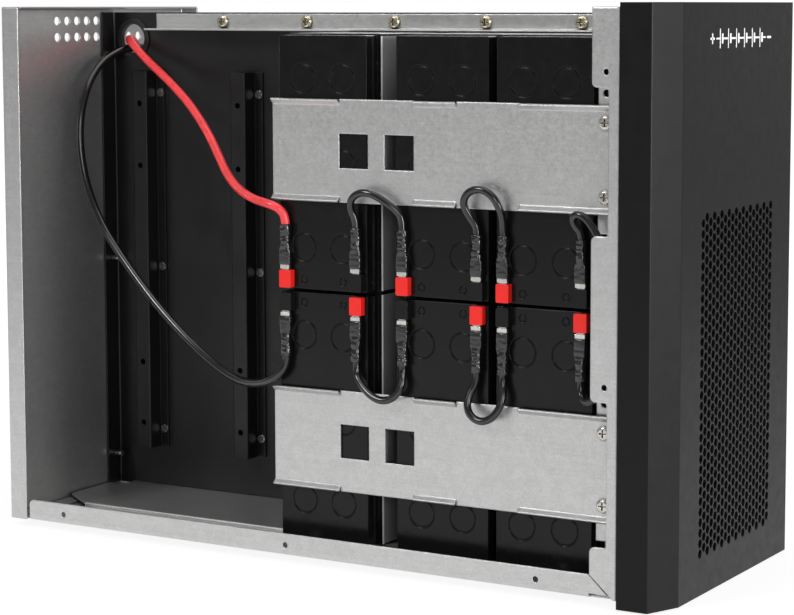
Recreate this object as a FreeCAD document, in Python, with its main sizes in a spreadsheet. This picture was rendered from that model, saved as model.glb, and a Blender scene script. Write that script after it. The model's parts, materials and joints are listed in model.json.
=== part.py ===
import FreeCAD, Part
import math
import os
import re
import Sketcher

# Battery bank of an uninterruptible power supply, hood taken off.
# X runs from the rear panel to the front bezel, Y from the open near side to the far side, Z up.
# Each piece is drawn in case coordinates: rear face X 0, near side Y 0, underside of the base Z 0.

SIZES = [
    ("gauge", 1.2, "steel sheet thickness"),
    ("bend", 1.2, "inside radius of the sheet bends"),
    ("battery_width", 65.0, "battery block, short side"),
    ("battery_length", 150.8, "battery block, long side, standing"),
    ("battery_depth", 94.0, "battery block, lid face to back"),
    ("lid_depth", 12.0, "battery lid height"),
    ("lid_inset_side", 2.5, "lid narrower than its case, each long side"),
    ("lid_inset_end", 1.0, "lid shorter than its case, each end"),
    ("vent_ring_radius", 8.7, "ring groove round each cell vent"),
    ("vent_ring_width", 0.9, "width of that groove"),
    ("vent_ring_depth", 0.6, "depth of that groove"),
    ("vent_spread", 13.5, "vents either side of the lid's middle"),
    ("vent_step", 49.5, "vent rows apart"),
    ("mark_radius", 2.4, "ring groove beside each terminal"),
    ("mark_width", 0.6, "width of that groove"),
    ("mark_gap", 6.7, "terminal base to that groove's middle"),
    ("face_setback", 17.5, "near side to the lid faces"),
    ("rear_bay", 193.6, "empty bay, rear face to the first battery column"),
    ("gap_ab", 15.0, "gap between the first two battery columns"),
    ("gap_bc", 0.3, "gap between the last two battery columns"),
    ("front_margin", 21.7, "last battery column to the front face of the chassis"),
    ("wiring_bay", 77.3, "depth behind the partition"),
    ("tray_lift", 0.4, "set rivets to the battery tray above them"),
    ("tray_near", 40.0, "near side to the tray's near edge"),
    ("tray_corner", 25.6, "tray corner cut off beside the rear panel, along X"),
    ("tray_corner_depth", 18.0, "the same corner along Y"),
    ("tray_clearance", 0.4, "tray to the partition"),
    ("rail_clearance", 0.4, "battery tops to the rail"),
    ("rail_height", 10.7, "height of the top rail"),
    ("rail_leg", 15.0, "depth of the rail's lower leg"),
    ("rail_start", 38.0, "rear face to the rail's end"),
    ("rail_end_gap", 9.0, "rail's other end to the chassis front"),
    ("rail_screw_start", 53.2, "rail's end to its first screw"),
    ("rail_screw_step", 64.2, "rail screws apart"),
    ("rail_screw_drop", 5.0, "rail's top edge to its screws"),
    ("partition_rise", 0.8, "partition above the rail"),
    ("panel_rise", 3.7, "end panels above the partition"),
    ("partition_flange", 13.0, "flanges of the partition"),
    ("partition_screw_drop", 27.5, "partition's top to its upper screw"),
    ("partition_screw_rise", 18.8, "tray to the partition's lower screw"),
    ("rear_flange", 13.6, "side flanges of the rear panel"),
    ("rear_top_flange", 13.6, "top flange of the rear panel"),
    ("bottom_flange", 14.0, "bottom flanges of both end panels"),
    ("rivet_line", 8.4, "chassis ends to the base rivets"),
    ("rivet_inset", 26.6, "chassis sides to the outer base rivets"),
    ("flange_relief", 3.0, "top and bottom flanges stop short of the bends"),
    ("front_flange", 17.0, "side flanges of the front panel, at the tabs"),
    ("notch_web", 7.0, "side flanges of the front panel, in the notches"),
    ("notch_height", 80.0, "notches beside each strap"),
    ("tab_corner", 3.0, "corner radius of the tabs"),
    ("lip_height", 13.0, "side lips of the base"),
    ("lip_gap", 2.5, "rear flange to the lip's end"),
    ("mitre_gap", 0.5, "lip to the front flange along the mitre"),
    ("hood_hole", 1.7, "radius of the threaded holes for the hood"),
    ("lip_hole_start", 43.1, "rear face to the first lip hole"),
    ("lip_hole_step", 166.2, "lip holes apart"),
    ("lip_hole_height", 6.2, "height of the lip holes"),
    ("tab_hole_inset", 8.7, "chassis front to the tab holes"),
    ("tab_hole_rise", 8.4, "notch's end to the tab hole above it"),
    ("vent_radius", 2.9, "vent holes of the rear panel"),
    ("vent_pitch_y", 10.0, "vent columns apart"),
    ("vent_pitch_z", 10.4, "vent rows apart"),
    ("vent_gap_near", 17.5, "partition to the near group of vents"),
    ("vent_gap_far", 16.3, "partition to the far group of vents"),
    ("vent_drop", 9.1, "panel top to the upper vent row"),
    ("window_inset", 19.3, "partition to the front panel's window"),
    ("window_margin", 16.0, "that window to the far side"),
    ("window_bottom", 40.0, "bottom of that window"),
    ("window_drop", 34.0, "panel top to that window"),
    ("rib_rear", 25.9, "rear face to the first rib"),
    ("rib_step", 77.7, "ribs apart"),
    ("rib_width", 11.5, "crown of a rib"),
    ("rib_height", 12.5, "rib crown off the partition"),
    ("rib_foot", 6.0, "feet of a rib"),
    ("rib_margin", 26.3, "ribs shorter than the battery stack, each end"),
    ("rib_rivet_edge", 3.3, "rib's side walls to its rivets"),
    ("rib_rivet_low", 12.0, "rib's lower end to its lower rivets"),
    ("rib_rivet_high", 14.0, "rib's upper end to its upper rivets"),
    ("rib_rivet_shift", 4.0, "middle rivets below the battery stack's middle"),
    ("rib_hole", 1.9, "radius of the threaded holes in the rib crowns"),
    ("strap_height", 60.0, "height of a strap"),
    ("strap_lip", 3.0, "strap edge that is bent outward"),
    ("strap_seat", 0.3, "strap to the lid faces"),
    ("strap_side_gap", 0.2, "strap's bent end to the first battery column"),
    ("strap_end", 10.0, "strap's front end to the chassis front"),
    ("strap_foot", 14.0, "strap's foot on the partition"),
    ("strap_screw_inset", 16.0, "chassis front to the strap screws"),
    ("strap_screw_spread", 20.3, "strap screws either side of its middle"),
    ("strap_offset_upper", 7.8, "upper strap above its batteries' middle"),
    ("strap_offset_lower", 11.9, "lower strap below its batteries' middle"),
    ("strap_window", 20.8, "windows of a strap"),
    ("strap_window_height", 20.0, "height of those windows"),
    ("strap_window_gap", 8.6, "strip between two windows"),
    ("strap_tab", 10.0, "tabs turned in at the windows"),
    ("strap_tab_clearance", 1.7, "first battery's lid to the tab beside it"),
    ("plain_before", 22.7, "strap edge left flat before the last battery column"),
    ("plain_beyond", 17.8, "strap edge left flat beyond that column's start"),
    ("bracket_gap", 0.4, "last battery column to the strap brackets"),
    ("bracket_depth", 20.0, "leg of a strap bracket on the front panel"),
    ("bracket_lap", 0.5, "strap bracket beyond its notch, each end"),
    ("bracket_hole", 2.0, "radius of the spare hole in a strap bracket"),
    ("bracket_hole_drop", 4.2, "bracket's top to that hole"),
    ("bracket_hole_inset", 16.6, "chassis front to that hole"),
    ("grommet_x", 18.4, "rear face to the cable hole"),
    ("grommet_drop", 17.1, "partition's top to the cable hole"),
    ("grommet_bore", 9.5, "radius of the grommet's bore"),
    ("grommet_wall", 1.5, "grommet's neck wall"),
    ("grommet_rim", 2.0, "grommet's rims beyond its neck"),
    ("grommet_rim_depth", 1.2, "thickness of each rim"),
    ("bezel_side", 18.5, "bezel's side faces"),
    ("bezel_nose", 9.1, "bezel's front face beyond its side faces"),
    ("bezel_slope", 19.5, "chassis side to the bezel's near crease"),
    ("bezel_far_slope", 13.0, "chassis side to the bezel's far crease"),
    ("bezel_overhang", 1.5, "bezel wider than the chassis, each side"),
    ("bezel_drop", 4.2, "bezel below the chassis"),
    ("bezel_rise", 2.2, "bezel above the chassis"),
    ("bezel_wall", 2.5, "wall of the bezel"),
    ("bezel_edge", 0.9, "rounded edges of the bezel"),
    ("grille_width", 109.0, "perforated field of the bezel"),
    ("grille_height", 197.0, "height of that field"),
    ("grille_bottom", 14.8, "bottom of that field"),
    ("grille_shift", 2.35, "that field beyond the chassis' middle"),
    ("hex_pitch", 5.95, "hexagonal holes apart"),
    ("hex_across", 4.75, "hexagonal holes across their flats"),
    ("boss_radius", 4.5, "screw bosses of the bezel"),
    ("boss_inset_y", 12.0, "chassis side to the bosses"),
    ("boss_inset_z", 14.0, "chassis top and bottom to the bosses"),
    ("screw_radius", 2.0, "screw shanks"),
    ("screw_play", 0.15, "screw holes wider than the shanks"),
    ("head_radius", 4.0, "screw heads"),
    ("head_depth", 2.5, "height of a screw head"),
    ("head_crown", 1.5, "rounding of a screw head"),
    ("recess_length", 4.4, "cross recess of a screw head"),
    ("recess_width", 0.9, "slots of that recess"),
    ("recess_depth", 1.4, "depth of that recess"),
    ("screw_reach", 8.0, "screw shank below the head"),
    ("rivet_radius", 1.6, "rivet shanks"),
    ("rivet_head", 2.7, "radius of the rivet heads"),
    ("rivet_crown", 1.0, "height of a rivet head"),
    ("rivet_tail", 2.1, "radius of a rivet's set end"),
    ("terminal_width", 8.0, "plastic base of a terminal"),
    ("terminal_rise", 10.6, "length of that base along the battery"),
    ("terminal_proud", 4.4, "base proud of the lid"),
    ("terminal_edge", 0.8, "rounded edges of that base"),
    ("terminal_margin", 1.7, "base to the lid's long edges"),
    ("terminal_end_margin", 0.5, "base to the lid's short edges"),
    ("tab_width", 4.75, "blade of a terminal"),
    ("tab_thickness", 0.8, "thickness of the blade"),
    ("tab_length", 7.9, "blade beyond its base"),
    ("tab_height", 3.4, "middle of the blade off the lid"),
    ("clip_wall", 0.6, "wall of a receptacle"),
    ("clip_play", 0.1, "receptacle round the blade, sleeve round the receptacle"),
    ("clip_gap", 0.8, "terminal base to the receptacle"),
    ("clip_length", 10.5, "length of a receptacle"),
    ("clip_shown", 2.4, "receptacle outside its sleeve"),
    ("sleeve_wall", 0.8, "wall of a sleeve"),
    ("sleeve_edge", 1.4, "rounded edges of a sleeve's wide part"),
    ("sleeve_flat", 11.0, "wide part of a sleeve"),
    ("sleeve_neck", 13.0, "round part of a sleeve"),
    ("sleeve_neck_radius", 3.1, "radius of the round part"),
    ("lead_diameter", 5.2, "pack leads"),
    ("jumper_diameter", 4.4, "jumper leads"),
    ("foot_height", 5.0, "rubber feet"),
    ("foot_radius", 11.0, "rubber feet at the base"),
    ("foot_tip", 9.7, "radius of the feet at the floor"),
    ("foot_dimple", 4.4, "radius of the dimple under a foot"),
    ("foot_dimple_depth", 1.6, "depth of that dimple"),
    ("foot_inset", 34.0, "chassis edges to the feet"),
    ("socket_flange", 2.5, "outlet's flange outside the rear panel"),
    ("socket_width", 44.0, "outlet body along Y"),
    ("socket_height", 20.0, "outlet body along Z"),
    ("socket_rim", 4.0, "flange beyond the body"),
    ("socket_reach", 30.0, "outlet body inside the panel"),
    ("socket_wall", 2.5, "wall of the outlet"),
    ("socket_hollow", 18.0, "depth of the outlet's mouth"),
    ("socket_z", 142.0, "height of the outlet's middle"),
    ("socket_play", 0.2, "outlet in its cut-out"),
    ("contact_width", 3.0, "contact blades"),
    ("contact_height", 10.0, "contact blades"),
    ("contact_length", 14.0, "contact blades in the outlet's mouth"),
    ("contact_spread", 10.0, "contacts either side of the outlet's middle"),
    ("fuse_width", 22.0, "fuse holder"),
    ("fuse_depth", 5.0, "fuse holder's base"),
    ("fuse_post", 10.0, "posts of the fuse holder"),
    ("fuse_length", 70.0, "fuse holder"),
    ("fuse_bottom", 190.0, "bottom of the fuse holder"),
    ("fuse_screw_spread", 7.0, "fuse holder screws either side of its middle"),
    ("fuse_radius", 5.1, "fuse"),
    ("fuse_clearance", 0.6, "fuse to the screw heads below it"),
    ("fuse_wrap", 2.0, "posts beyond the fuse"),
]

# Sizes and places that follow from the driving dimensions
LAYOUT = [
    ("column_a", "rear_bay"),
    ("column_b", "column_a + battery_width + gap_ab"),
    ("column_c", "column_b + battery_width + gap_bc"),
    ("column_end", "column_c + battery_width"),
    ("chassis_length", "column_end + front_margin"),
    ("partition_y", "face_setback + battery_depth"),
    ("partition_back", "partition_y + gauge"),
    ("chassis_width", "partition_back + wiring_bay"),
    ("tray_top", "3 * gauge + rivet_crown + tray_lift"),
    ("stack_middle", "tray_top + battery_length"),
    ("stack_top", "stack_middle + battery_length"),
    ("rail_bottom", "stack_top + rail_clearance"),
    ("rail_top", "rail_bottom + rail_height"),
    ("rail_screw_z", "rail_top - rail_screw_drop"),
    ("rail_end", "chassis_length - rail_end_gap"),
    ("partition_top", "rail_top + partition_rise"),
    ("chassis_height", "partition_top + panel_rise"),
    ("partition_x1", "chassis_length - gauge"),
    ("partition_screw_y", "partition_y - partition_flange / 2 + gauge"),
    ("strap_upper_z", "stack_middle + battery_length / 2 + strap_offset_upper"),
    ("strap_lower_z", "tray_top + battery_length / 2 - strap_offset_lower"),
    ("strap_back", "face_setback - strap_seat"),
    ("strap_face", "strap_back - gauge"),
    ("strap_x0", "column_a - strap_side_gap - gauge"),
    ("strap_x1", "chassis_length - strap_end"),
    ("strap_screw_x", "chassis_length - strap_screw_inset"),
    ("strap_foot_x", "strap_x0 - strap_foot / 2"),
    ("rib_z0", "tray_top + rib_margin"),
    ("rib_z1", "stack_top - rib_margin"),
    ("window_one_end", "column_a + battery_width - lid_inset_side + strap_tab_clearance + gauge"),
    ("window_one_start", "window_one_end - strap_window"),
    ("window_two_start", "window_one_end + strap_window_gap"),
    ("window_two_end", "window_two_start + strap_window"),
    ("plain_start", "column_c - plain_before"),
    ("plain_end", "column_c + plain_beyond"),
    ("bracket_x", "column_end + bracket_gap"),
    ("grommet_z", "partition_top - grommet_drop"),
    ("grommet_hole", "grommet_bore + grommet_wall"),
    ("bezel_shoulder", "chassis_length + bezel_side"),
    ("bezel_front", "bezel_shoulder + bezel_nose"),
    ("bezel_z0", "0 - bezel_drop"),
    ("bezel_z1", "chassis_height + bezel_rise"),
    ("bezel_y0", "0 - bezel_overhang"),
    ("bezel_y1", "chassis_width + bezel_overhang"),
    ("bezel_crease_near", "bezel_slope"),
    ("bezel_crease_far", "chassis_width - bezel_far_slope"),
    ("bezel_inner", "bezel_front - bezel_wall"),
    ("grille_y0", "(chassis_width - grille_width) / 2 + grille_shift"),
    ("vent_near", "partition_y - vent_gap_near - 4 * vent_pitch_y"),
    ("vent_far", "partition_back + vent_gap_far"),
    ("window_start", "partition_back + window_inset"),
    ("window_end", "chassis_width - window_margin"),
    ("screw_hole", "screw_radius + screw_play"),
    ("rivet_hole", "rivet_radius + screw_play / 3"),
    ("clip_width", "tab_width + 2 * (clip_play + clip_wall)"),
    ("clip_thickness", "tab_thickness + 2 * (clip_play + clip_wall)"),
    ("clip_start", "terminal_rise + clip_gap"),
    ("sleeve_start", "clip_start + clip_shown"),
    ("sleeve_end", "sleeve_start + sleeve_flat + sleeve_neck"),
    ("socket_middle", "partition_back + wiring_bay / 2"),
    ("socket_y0", "socket_middle - socket_width / 2"),
    ("socket_z0", "socket_z - socket_height / 2"),
    ("fuse_x", "rib_rear + rib_width / 2 - fuse_width / 2"),
    ("fuse_face", "partition_back + fuse_depth"),
    ("fuse_axis", "fuse_face + head_depth + fuse_clearance + fuse_radius"),
    ("frame_x", "(socket_flange - bezel_front) / 2"),
    ("frame_y", "0 - chassis_width / 2"),
    ("frame_z", "foot_height"),
]

BOTH_SIDES = (-1, 1)
VENT_ROWS = (-1, 0, 1)
STRAP_LEVELS = ("strap_upper_z", "strap_lower_z")
STRAP_WINDOWS = (("window_one_start", "window_one_end"), ("window_two_start", "window_two_end"))
PLAIN_EDGES = (("window_one_start", "window_two_end"), ("plain_start", "plain_end"))
BENT_EDGES = (("strap_x0", "window_one_start"), ("window_two_end", "plain_start"), ("plain_end", "strap_x1"))
PARTITION_SCREWS = ("partition_top - partition_screw_drop", "stack_middle", "tray_top + partition_screw_rise")
RIVET_LINES = ("rivet_line", "chassis_length - rivet_line")
RIVET_ROWS = ("rivet_inset", "chassis_width / 2", "chassis_width - rivet_inset")

doc = FreeCAD.newDocument("battery_bank")
sheet = doc.addObject("Spreadsheet::Sheet", "Sizes")
layout = doc.addObject("App::VarSet", "Layout")
HOME = {}
SUBPARTS = []
CUTS = []


def formula(text):
    """Point each named size of a formula at the object that holds it."""
    return re.sub(r"[a-z][a-z_0-9]*", lambda word: HOME[word.group(0)] + "." + word.group(0), str(text))


def bind(item, prop, text):
    item.setExpression(prop, formula(text))


def value(name):
    if HOME[name] == "Sizes":
        return float(sheet.get(name))
    return float(getattr(layout, name))


def fill_sheet():
    for row, (alias, number, note) in enumerate(SIZES, start=1):
        sheet.set("A%d" % row, alias)
        sheet.set("B%d" % row, str(number))
        sheet.set("C%d" % row, note)
        sheet.setAlias("B%d" % row, alias)
        HOME[alias] = "Sizes"
    doc.recompute()
    for name, text in LAYOUT:
        layout.addProperty("App::PropertyFloat", name)
        bind(layout, name, text)
        HOME[name] = "Layout"
    doc.recompute()


def seat(item, label):
    """Name a finished piece and move it from case coordinates to the part's own frame."""
    item.Label = label
    for axis in "xyz":
        bind(item, "Placement.Base." + axis, "frame_" + axis)
    SUBPARTS.append(item)
    return item


def new_body(name):
    return doc.addObject("PartDesign::Body", name + "_body")


def new_sketch(body, name, role, at):
    sketch = body.newObject("Sketcher::SketchObject", name)
    plane = [item for item in body.Origin.OriginFeatures if item.Role == role][0]
    sketch.AttachmentSupport = [(plane, "")]
    sketch.MapMode = "FlatFace"
    side = "0 - (%s)" if role == "XZ_Plane" else "%s"
    bind(sketch, "AttachmentOffset.Base.z", side % at)
    return sketch


def pin(sketch, geometry, spot, kind, text):
    """Hold one coordinate of a sketch point at a formula."""
    index = sketch.addConstraint(Sketcher.Constraint(kind, geometry, spot, 1.0 + geometry))
    name = "%s_%d_%d" % (kind, geometry, spot)
    sketch.renameConstraint(index, name)
    bind(sketch, "Constraints." + name, text)


def draw(sketch, outline):
    """A closed polygon whose corners are pairs of formulas."""
    count = len(outline)
    first = sketch.GeometryCount
    corners = [FreeCAD.Vector(60 * math.cos(i * math.tau / count), 60 * math.sin(i * math.tau / count), 0)
               for i in range(count)]
    for i in range(count):
        sketch.addGeometry(Part.LineSegment(corners[i], corners[(i + 1) % count]), False)
    for i in range(count):
        following = first + (i + 1) % count
        sketch.addConstraint(Sketcher.Constraint("Coincident", first + i, 2, following, 1))
    for i, (across, along) in enumerate(outline):
        pin(sketch, first + i, 1, "DistanceX", across)
        pin(sketch, first + i, 1, "DistanceY", along)


def draw_circle(sketch, across, along, radius):
    circle = Part.Circle(FreeCAD.Vector(1, 1, 0), FreeCAD.Vector(0, 0, 1), 1.0)
    index = sketch.addGeometry(circle, False)
    pin(sketch, index, 3, "DistanceX", across)
    pin(sketch, index, 3, "DistanceY", along)
    radial = sketch.addConstraint(Sketcher.Constraint("Radius", index, 1.0))
    name = "Radius_%d" % index
    sketch.renameConstraint(radial, name)
    bind(sketch, "Constraints." + name, radius)


def profile(body, name, role, at, outlines, circles):
    sketch = new_sketch(body, name + "_sketch", role, at)
    for outline in outlines:
        draw(sketch, outline)
    for circle in circles:
        draw_circle(sketch, *circle)
    return sketch


def pad(body, name, role, at, length, outlines=(), circles=()):
    """Add material from the plane at a place on its axis, in the axis' own direction."""
    feature = body.newObject("PartDesign::Pad", name)
    feature.Profile = profile(body, name, role, at, outlines, circles)
    bind(feature, "Length", length)
    feature.Reversed = role == "XZ_Plane"
    body.Tip = feature
    return feature


def pocket(body, name, role, at, length, outlines=(), circles=()):
    """Cut from the plane at a place on its axis, in the axis' own direction."""
    feature = body.newObject("PartDesign::Pocket", name)
    feature.Profile = profile(body, name, role, at, outlines, circles)
    bind(feature, "Length", length)
    feature.Reversed = role != "XZ_Plane"
    body.Tip = feature
    CUTS.append(feature)
    return feature


def rectangle(across0, along0, across1, along1):
    return [(across0, along0), (across1, along0), (across1, along1), (across0, along1)]


def round_edges(body, name, axis, spots, radius):
    """Fillet the edges along an axis that pass through the given places on the other two axes."""
    doc.recompute()
    base = body.Tip
    others = [letter for letter in "xyz" if letter != axis]
    chosen = []
    for number, edge in enumerate(base.Shape.Edges, start=1):
        ends = [vertex.Point for vertex in edge.Vertexes]
        if len(ends) != 2 or not isinstance(edge.Curve, Part.Line):
            continue
        for spot in spots:
            if all(abs(getattr(end, letter) - place) < 0.01
                   for end in ends for letter, place in zip(others, spot)):
                chosen.append("Edge%d" % number)
    if not chosen:
        raise RuntimeError("no edge to round for " + name)
    feature = body.newObject("PartDesign::Fillet", name)
    feature.Base = (base, chosen)
    bind(feature, "Radius", radius)
    body.Tip = feature
    return feature


def cut_away(name, base, tools):
    """Cut primitive tools from a primitive base."""
    cut = doc.addObject("Part::Cut", name)
    cut.Base = base
    cut.Tool = fuse(name + "_tools", tools) if len(tools) > 1 else tools[0]
    return cut


def block(name, low, high):
    """A box between two corners given as formulas."""
    box = doc.addObject("Part::Box", name)
    for prop, axis, start, end in zip(("Length", "Width", "Height"), "xyz", low, high):
        bind(box, prop, "(%s) - (%s)" % (end, start))
        bind(box, "Placement.Base." + axis, start)
    return box


def rod(name, spot, radius, length, axis):
    """A cylinder from a place given as formulas, along a positive axis."""
    turns = {"x": (FreeCAD.Vector(0, 1, 0), 90),
             "y": (FreeCAD.Vector(1, 0, 0), -90),
             "z": (FreeCAD.Vector(0, 0, 1), 0)}
    cylinder = doc.addObject("Part::Cylinder", name)
    bind(cylinder, "Radius", radius)
    bind(cylinder, "Height", length)
    cylinder.Placement = FreeCAD.Placement(FreeCAD.Vector(), FreeCAD.Rotation(*turns[axis]))
    for letter, place in zip("xyz", spot):
        bind(cylinder, "Placement.Base." + letter, place)
    return cylinder


def fuse(name, shapes):
    joined = doc.addObject("Part::MultiFuse", name)
    joined.Shapes = shapes
    return joined


def copies(label, master, placements):
    """One piece of many like solids, each the master moved to its own place."""
    doc.recompute()
    solids = []
    for placement in placements:
        solid = master.Shape.copy()
        solid.Placement = placement.multiply(solid.Placement)
        solids.append(solid)
    group = doc.addObject("Part::Feature", label + "_group")
    group.Shape = Part.makeCompound(solids)
    return seat(group, label)


def placed(x, y, z, axis=(0, 0, 1), angle=0.0):
    return FreeCAD.Placement(FreeCAD.Vector(x, y, z), FreeCAD.Rotation(FreeCAD.Vector(*axis), angle))


# Chassis

def make_base_pan():
    body = new_body("base_pan")
    lip_x0 = "rear_flange + lip_gap"
    lip_x1 = "chassis_length - front_flange - mitre_gap"
    end = "chassis_length - gauge"
    near, far = "flange_relief", "chassis_width - flange_relief"
    floor = [("gauge", near), (lip_x0, near), (lip_x0, "0"), (lip_x1, "0"), (lip_x1, near), (end, near),
             (end, far), (lip_x1, far), (lip_x1, "chassis_width"), (lip_x0, "chassis_width"), (lip_x0, far),
             ("gauge", far)]
    pad(body, "base_floor", "XY_Plane", "0", "gauge", [floor])
    lip = [(lip_x0, "0"), (lip_x1, "0"), (lip_x1, "bend + gauge"),
           ("chassis_length - 2.5 * (bend + gauge)", "bend + gauge"), (lip_x1, "lip_height"),
           (lip_x0, "lip_height")]
    pad(body, "base_lip_near", "XZ_Plane", "0", "gauge", [lip])
    pad(body, "base_lip_far", "XZ_Plane", "chassis_width - gauge", "gauge", [lip])
    width = value("chassis_width")
    gauge = value("gauge")
    round_edges(body, "base_bend_inner", "x", [(gauge, gauge), (width - gauge, gauge)], "bend")
    round_edges(body, "base_bend_outer", "x", [(0, 0), (width, 0)], "bend + gauge")
    lip_start = value("rear_flange") + value("lip_gap")
    tall = value("lip_height")
    round_edges(body, "base_lip_corner", "y", [(lip_start, tall)], "tab_corner")
    holes = [("lip_hole_start + %d * lip_hole_step" % i, "lip_hole_height", "hood_hole") for i in range(3)]
    pocket(body, "base_lip_holes", "XZ_Plane", "0 - gauge", "chassis_width + 2 * gauge", circles=holes)
    rivets = [(x, y, "rivet_hole") for x in RIVET_LINES for y in RIVET_ROWS]
    pocket(body, "base_rivet_holes", "XY_Plane", "0 - gauge", "3 * gauge", circles=rivets)
    seat(body, "base_pan")


def make_rear_panel():
    body = new_body("rear_panel")
    outline = [("0", "0"), ("rear_flange", "0"), ("rear_flange", "gauge"), ("gauge", "gauge"),
               ("gauge", "chassis_width - gauge"), ("rear_flange", "chassis_width - gauge"),
               ("rear_flange", "chassis_width"), ("0", "chassis_width")]
    pad(body, "rear_channel", "XY_Plane", "0", "chassis_height", [outline])
    gauge = value("gauge")
    width = value("chassis_width")
    height = value("chassis_height")
    round_edges(body, "rear_bend_inner", "z", [(gauge, gauge), (gauge, width - gauge)], "bend")
    round_edges(body, "rear_bend_outer", "z", [(0, 0), (0, width)], "bend + gauge")
    across = ("flange_relief", "chassis_width - flange_relief")
    pad(body, "rear_top", "XY_Plane", "chassis_height - gauge", "gauge",
        [rectangle("0", across[0], "rear_top_flange", across[1])])
    pad(body, "rear_bottom", "XY_Plane", "gauge", "gauge",
        [rectangle("gauge / 2", across[0], "bottom_flange", across[1])])
    round_edges(body, "rear_top_bend", "y", [(0, height)], "bend * 0.8")
    vents = [("%s + %d * vent_pitch_y" % (start, i), "chassis_height - vent_drop - %d * vent_pitch_z" % j,
              "vent_radius") for start in ("vent_near", "vent_far") for i in range(5) for j in range(2)]
    pocket(body, "rear_vents", "YZ_Plane", "0 - gauge", "3 * gauge", circles=vents)
    screws = [("partition_screw_y", z, "screw_hole") for z in PARTITION_SCREWS]
    pocket(body, "rear_screw_holes", "YZ_Plane", "0 - gauge", "3 * gauge", circles=screws)
    pocket(body, "rear_outlet", "YZ_Plane", "0 - gauge", "3 * gauge",
           [rectangle("socket_y0 - socket_play", "socket_z0 - socket_play",
                      "socket_y0 + socket_width + socket_play", "socket_z0 + socket_height + socket_play")])
    rivets = [(RIVET_LINES[0], y, "rivet_hole") for y in RIVET_ROWS]
    pocket(body, "rear_rivet_holes", "XY_Plane", "gauge / 2", "2 * gauge", circles=rivets)
    seat(body, "rear_panel")


def make_front_panel():
    body = new_body("front_panel")
    tab = "chassis_length - front_flange"
    outline = [("chassis_length", "0"), (tab, "0"), (tab, "gauge"), ("chassis_length - gauge", "gauge"),
               ("chassis_length - gauge", "chassis_width - gauge"), (tab, "chassis_width - gauge"),
               (tab, "chassis_width"), ("chassis_length", "chassis_width")]
    pad(body, "front_channel", "XY_Plane", "0", "chassis_height", [outline])
    gauge = value("gauge")
    width = value("chassis_width")
    length = value("chassis_length")
    height = value("chassis_height")
    inner = length - gauge
    round_edges(body, "front_bend_inner", "z", [(inner, gauge), (inner, width - gauge)], "bend")
    round_edges(body, "front_bend_outer", "z", [(length, 0), (length, width)], "bend + gauge")
    notches = [rectangle(tab + " - gauge", level + " - notch_height / 2",
                         "chassis_length - notch_web", level + " + notch_height / 2")
               for level in STRAP_LEVELS]
    pocket(body, "front_notches", "XZ_Plane", "0 - gauge", "chassis_width + 2 * gauge", notches)
    half = value("notch_height") / 2
    tab_x = length - value("front_flange")
    levels = [value(level) for level in STRAP_LEVELS]
    corners = [(tab_x, level + side * half) for level in levels for side in (-1, 1)]
    round_edges(body, "front_tab_corners", "y", corners, "tab_corner")
    root_x = length - value("notch_web")
    roots = [(root_x, level + side * half) for level in levels for side in (-1, 1)]
    round_edges(body, "front_notch_roots", "y", roots, "tab_corner / 2")
    mitre = [(tab + " - gauge", "0 - gauge"), ("chassis_length - gauge - bend", "0 - gauge"),
             ("chassis_length - gauge - bend", "0"), (tab, "lip_height"), (tab + " - gauge", "lip_height")]
    for side, start in (("near", "0 - gauge"), ("far", "chassis_width - gauge - bend")):
        pocket(body, "front_mitre_" + side, "XZ_Plane", start, "2 * gauge + bend", [mitre])
    across = ("flange_relief", "chassis_width - flange_relief")
    pad(body, "front_top", "XY_Plane", "chassis_height - gauge", "gauge",
        [rectangle(tab, across[0], "chassis_length", across[1])])
    pad(body, "front_bottom", "XY_Plane", "gauge", "gauge",
        [rectangle("chassis_length - bottom_flange", across[0], "chassis_length - gauge / 2", across[1])])
    round_edges(body, "front_top_bend", "y", [(length, height)], "bend * 0.8")
    holes = [("chassis_length - tab_hole_inset", level + " + notch_height / 2 + tab_hole_rise", "hood_hole")
             for level in STRAP_LEVELS]
    pocket(body, "front_tab_holes", "XZ_Plane", "0 - gauge", "chassis_width + 2 * gauge", circles=holes)
    pocket(body, "front_window", "YZ_Plane", "chassis_length - 2 * gauge", "3 * gauge",
           [rectangle("window_start", "window_bottom", "window_end", "chassis_height - window_drop")])
    bosses = [(y, z, "screw_hole") for y, z in boss_spots()]
    pocket(body, "front_boss_holes", "YZ_Plane", "chassis_length - 2 * gauge", "3 * gauge", circles=bosses)
    rivets = [(RIVET_LINES[1], y, "rivet_hole") for y in RIVET_ROWS]
    pocket(body, "front_rivet_holes", "XY_Plane", "gauge / 2", "2 * gauge", circles=rivets)
    seat(body, "front_panel")


def boss_spots():
    return [(y, z) for y in ("boss_inset_y", "chassis_width - boss_inset_y")
            for z in ("boss_inset_z", "chassis_height - boss_inset_z")]


def rib_starts():
    return ["rib_rear + %d * rib_step" % i for i in range(2)]


def screw_pair(level):
    """Heights of the two screws at each end of a strap."""
    return ["%s + %d * strap_screw_spread" % (level, side) for side in BOTH_SIDES]


def strap_foot_spots():
    return [("strap_foot_x", z) for level in STRAP_LEVELS for z in screw_pair(level)]


def rail_spots():
    return [("rail_start + rail_screw_start + %d * rail_screw_step" % i, "rail_screw_z") for i in range(5)]


def rib_rivet_spots():
    levels = ("rib_z0 + rib_rivet_low", "stack_middle - rib_rivet_shift", "rib_z1 - rib_rivet_high")
    feet = ("%s - rib_rivet_edge", "%s + rib_width + rib_rivet_edge")
    return [(foot % start, level) for start in rib_starts() for foot in feet for level in levels]


def fuse_spots():
    return [("fuse_x + fuse_width / 2", "fuse_bottom + fuse_length / 2 + %d * fuse_screw_spread" % side)
            for side in BOTH_SIDES]


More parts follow.
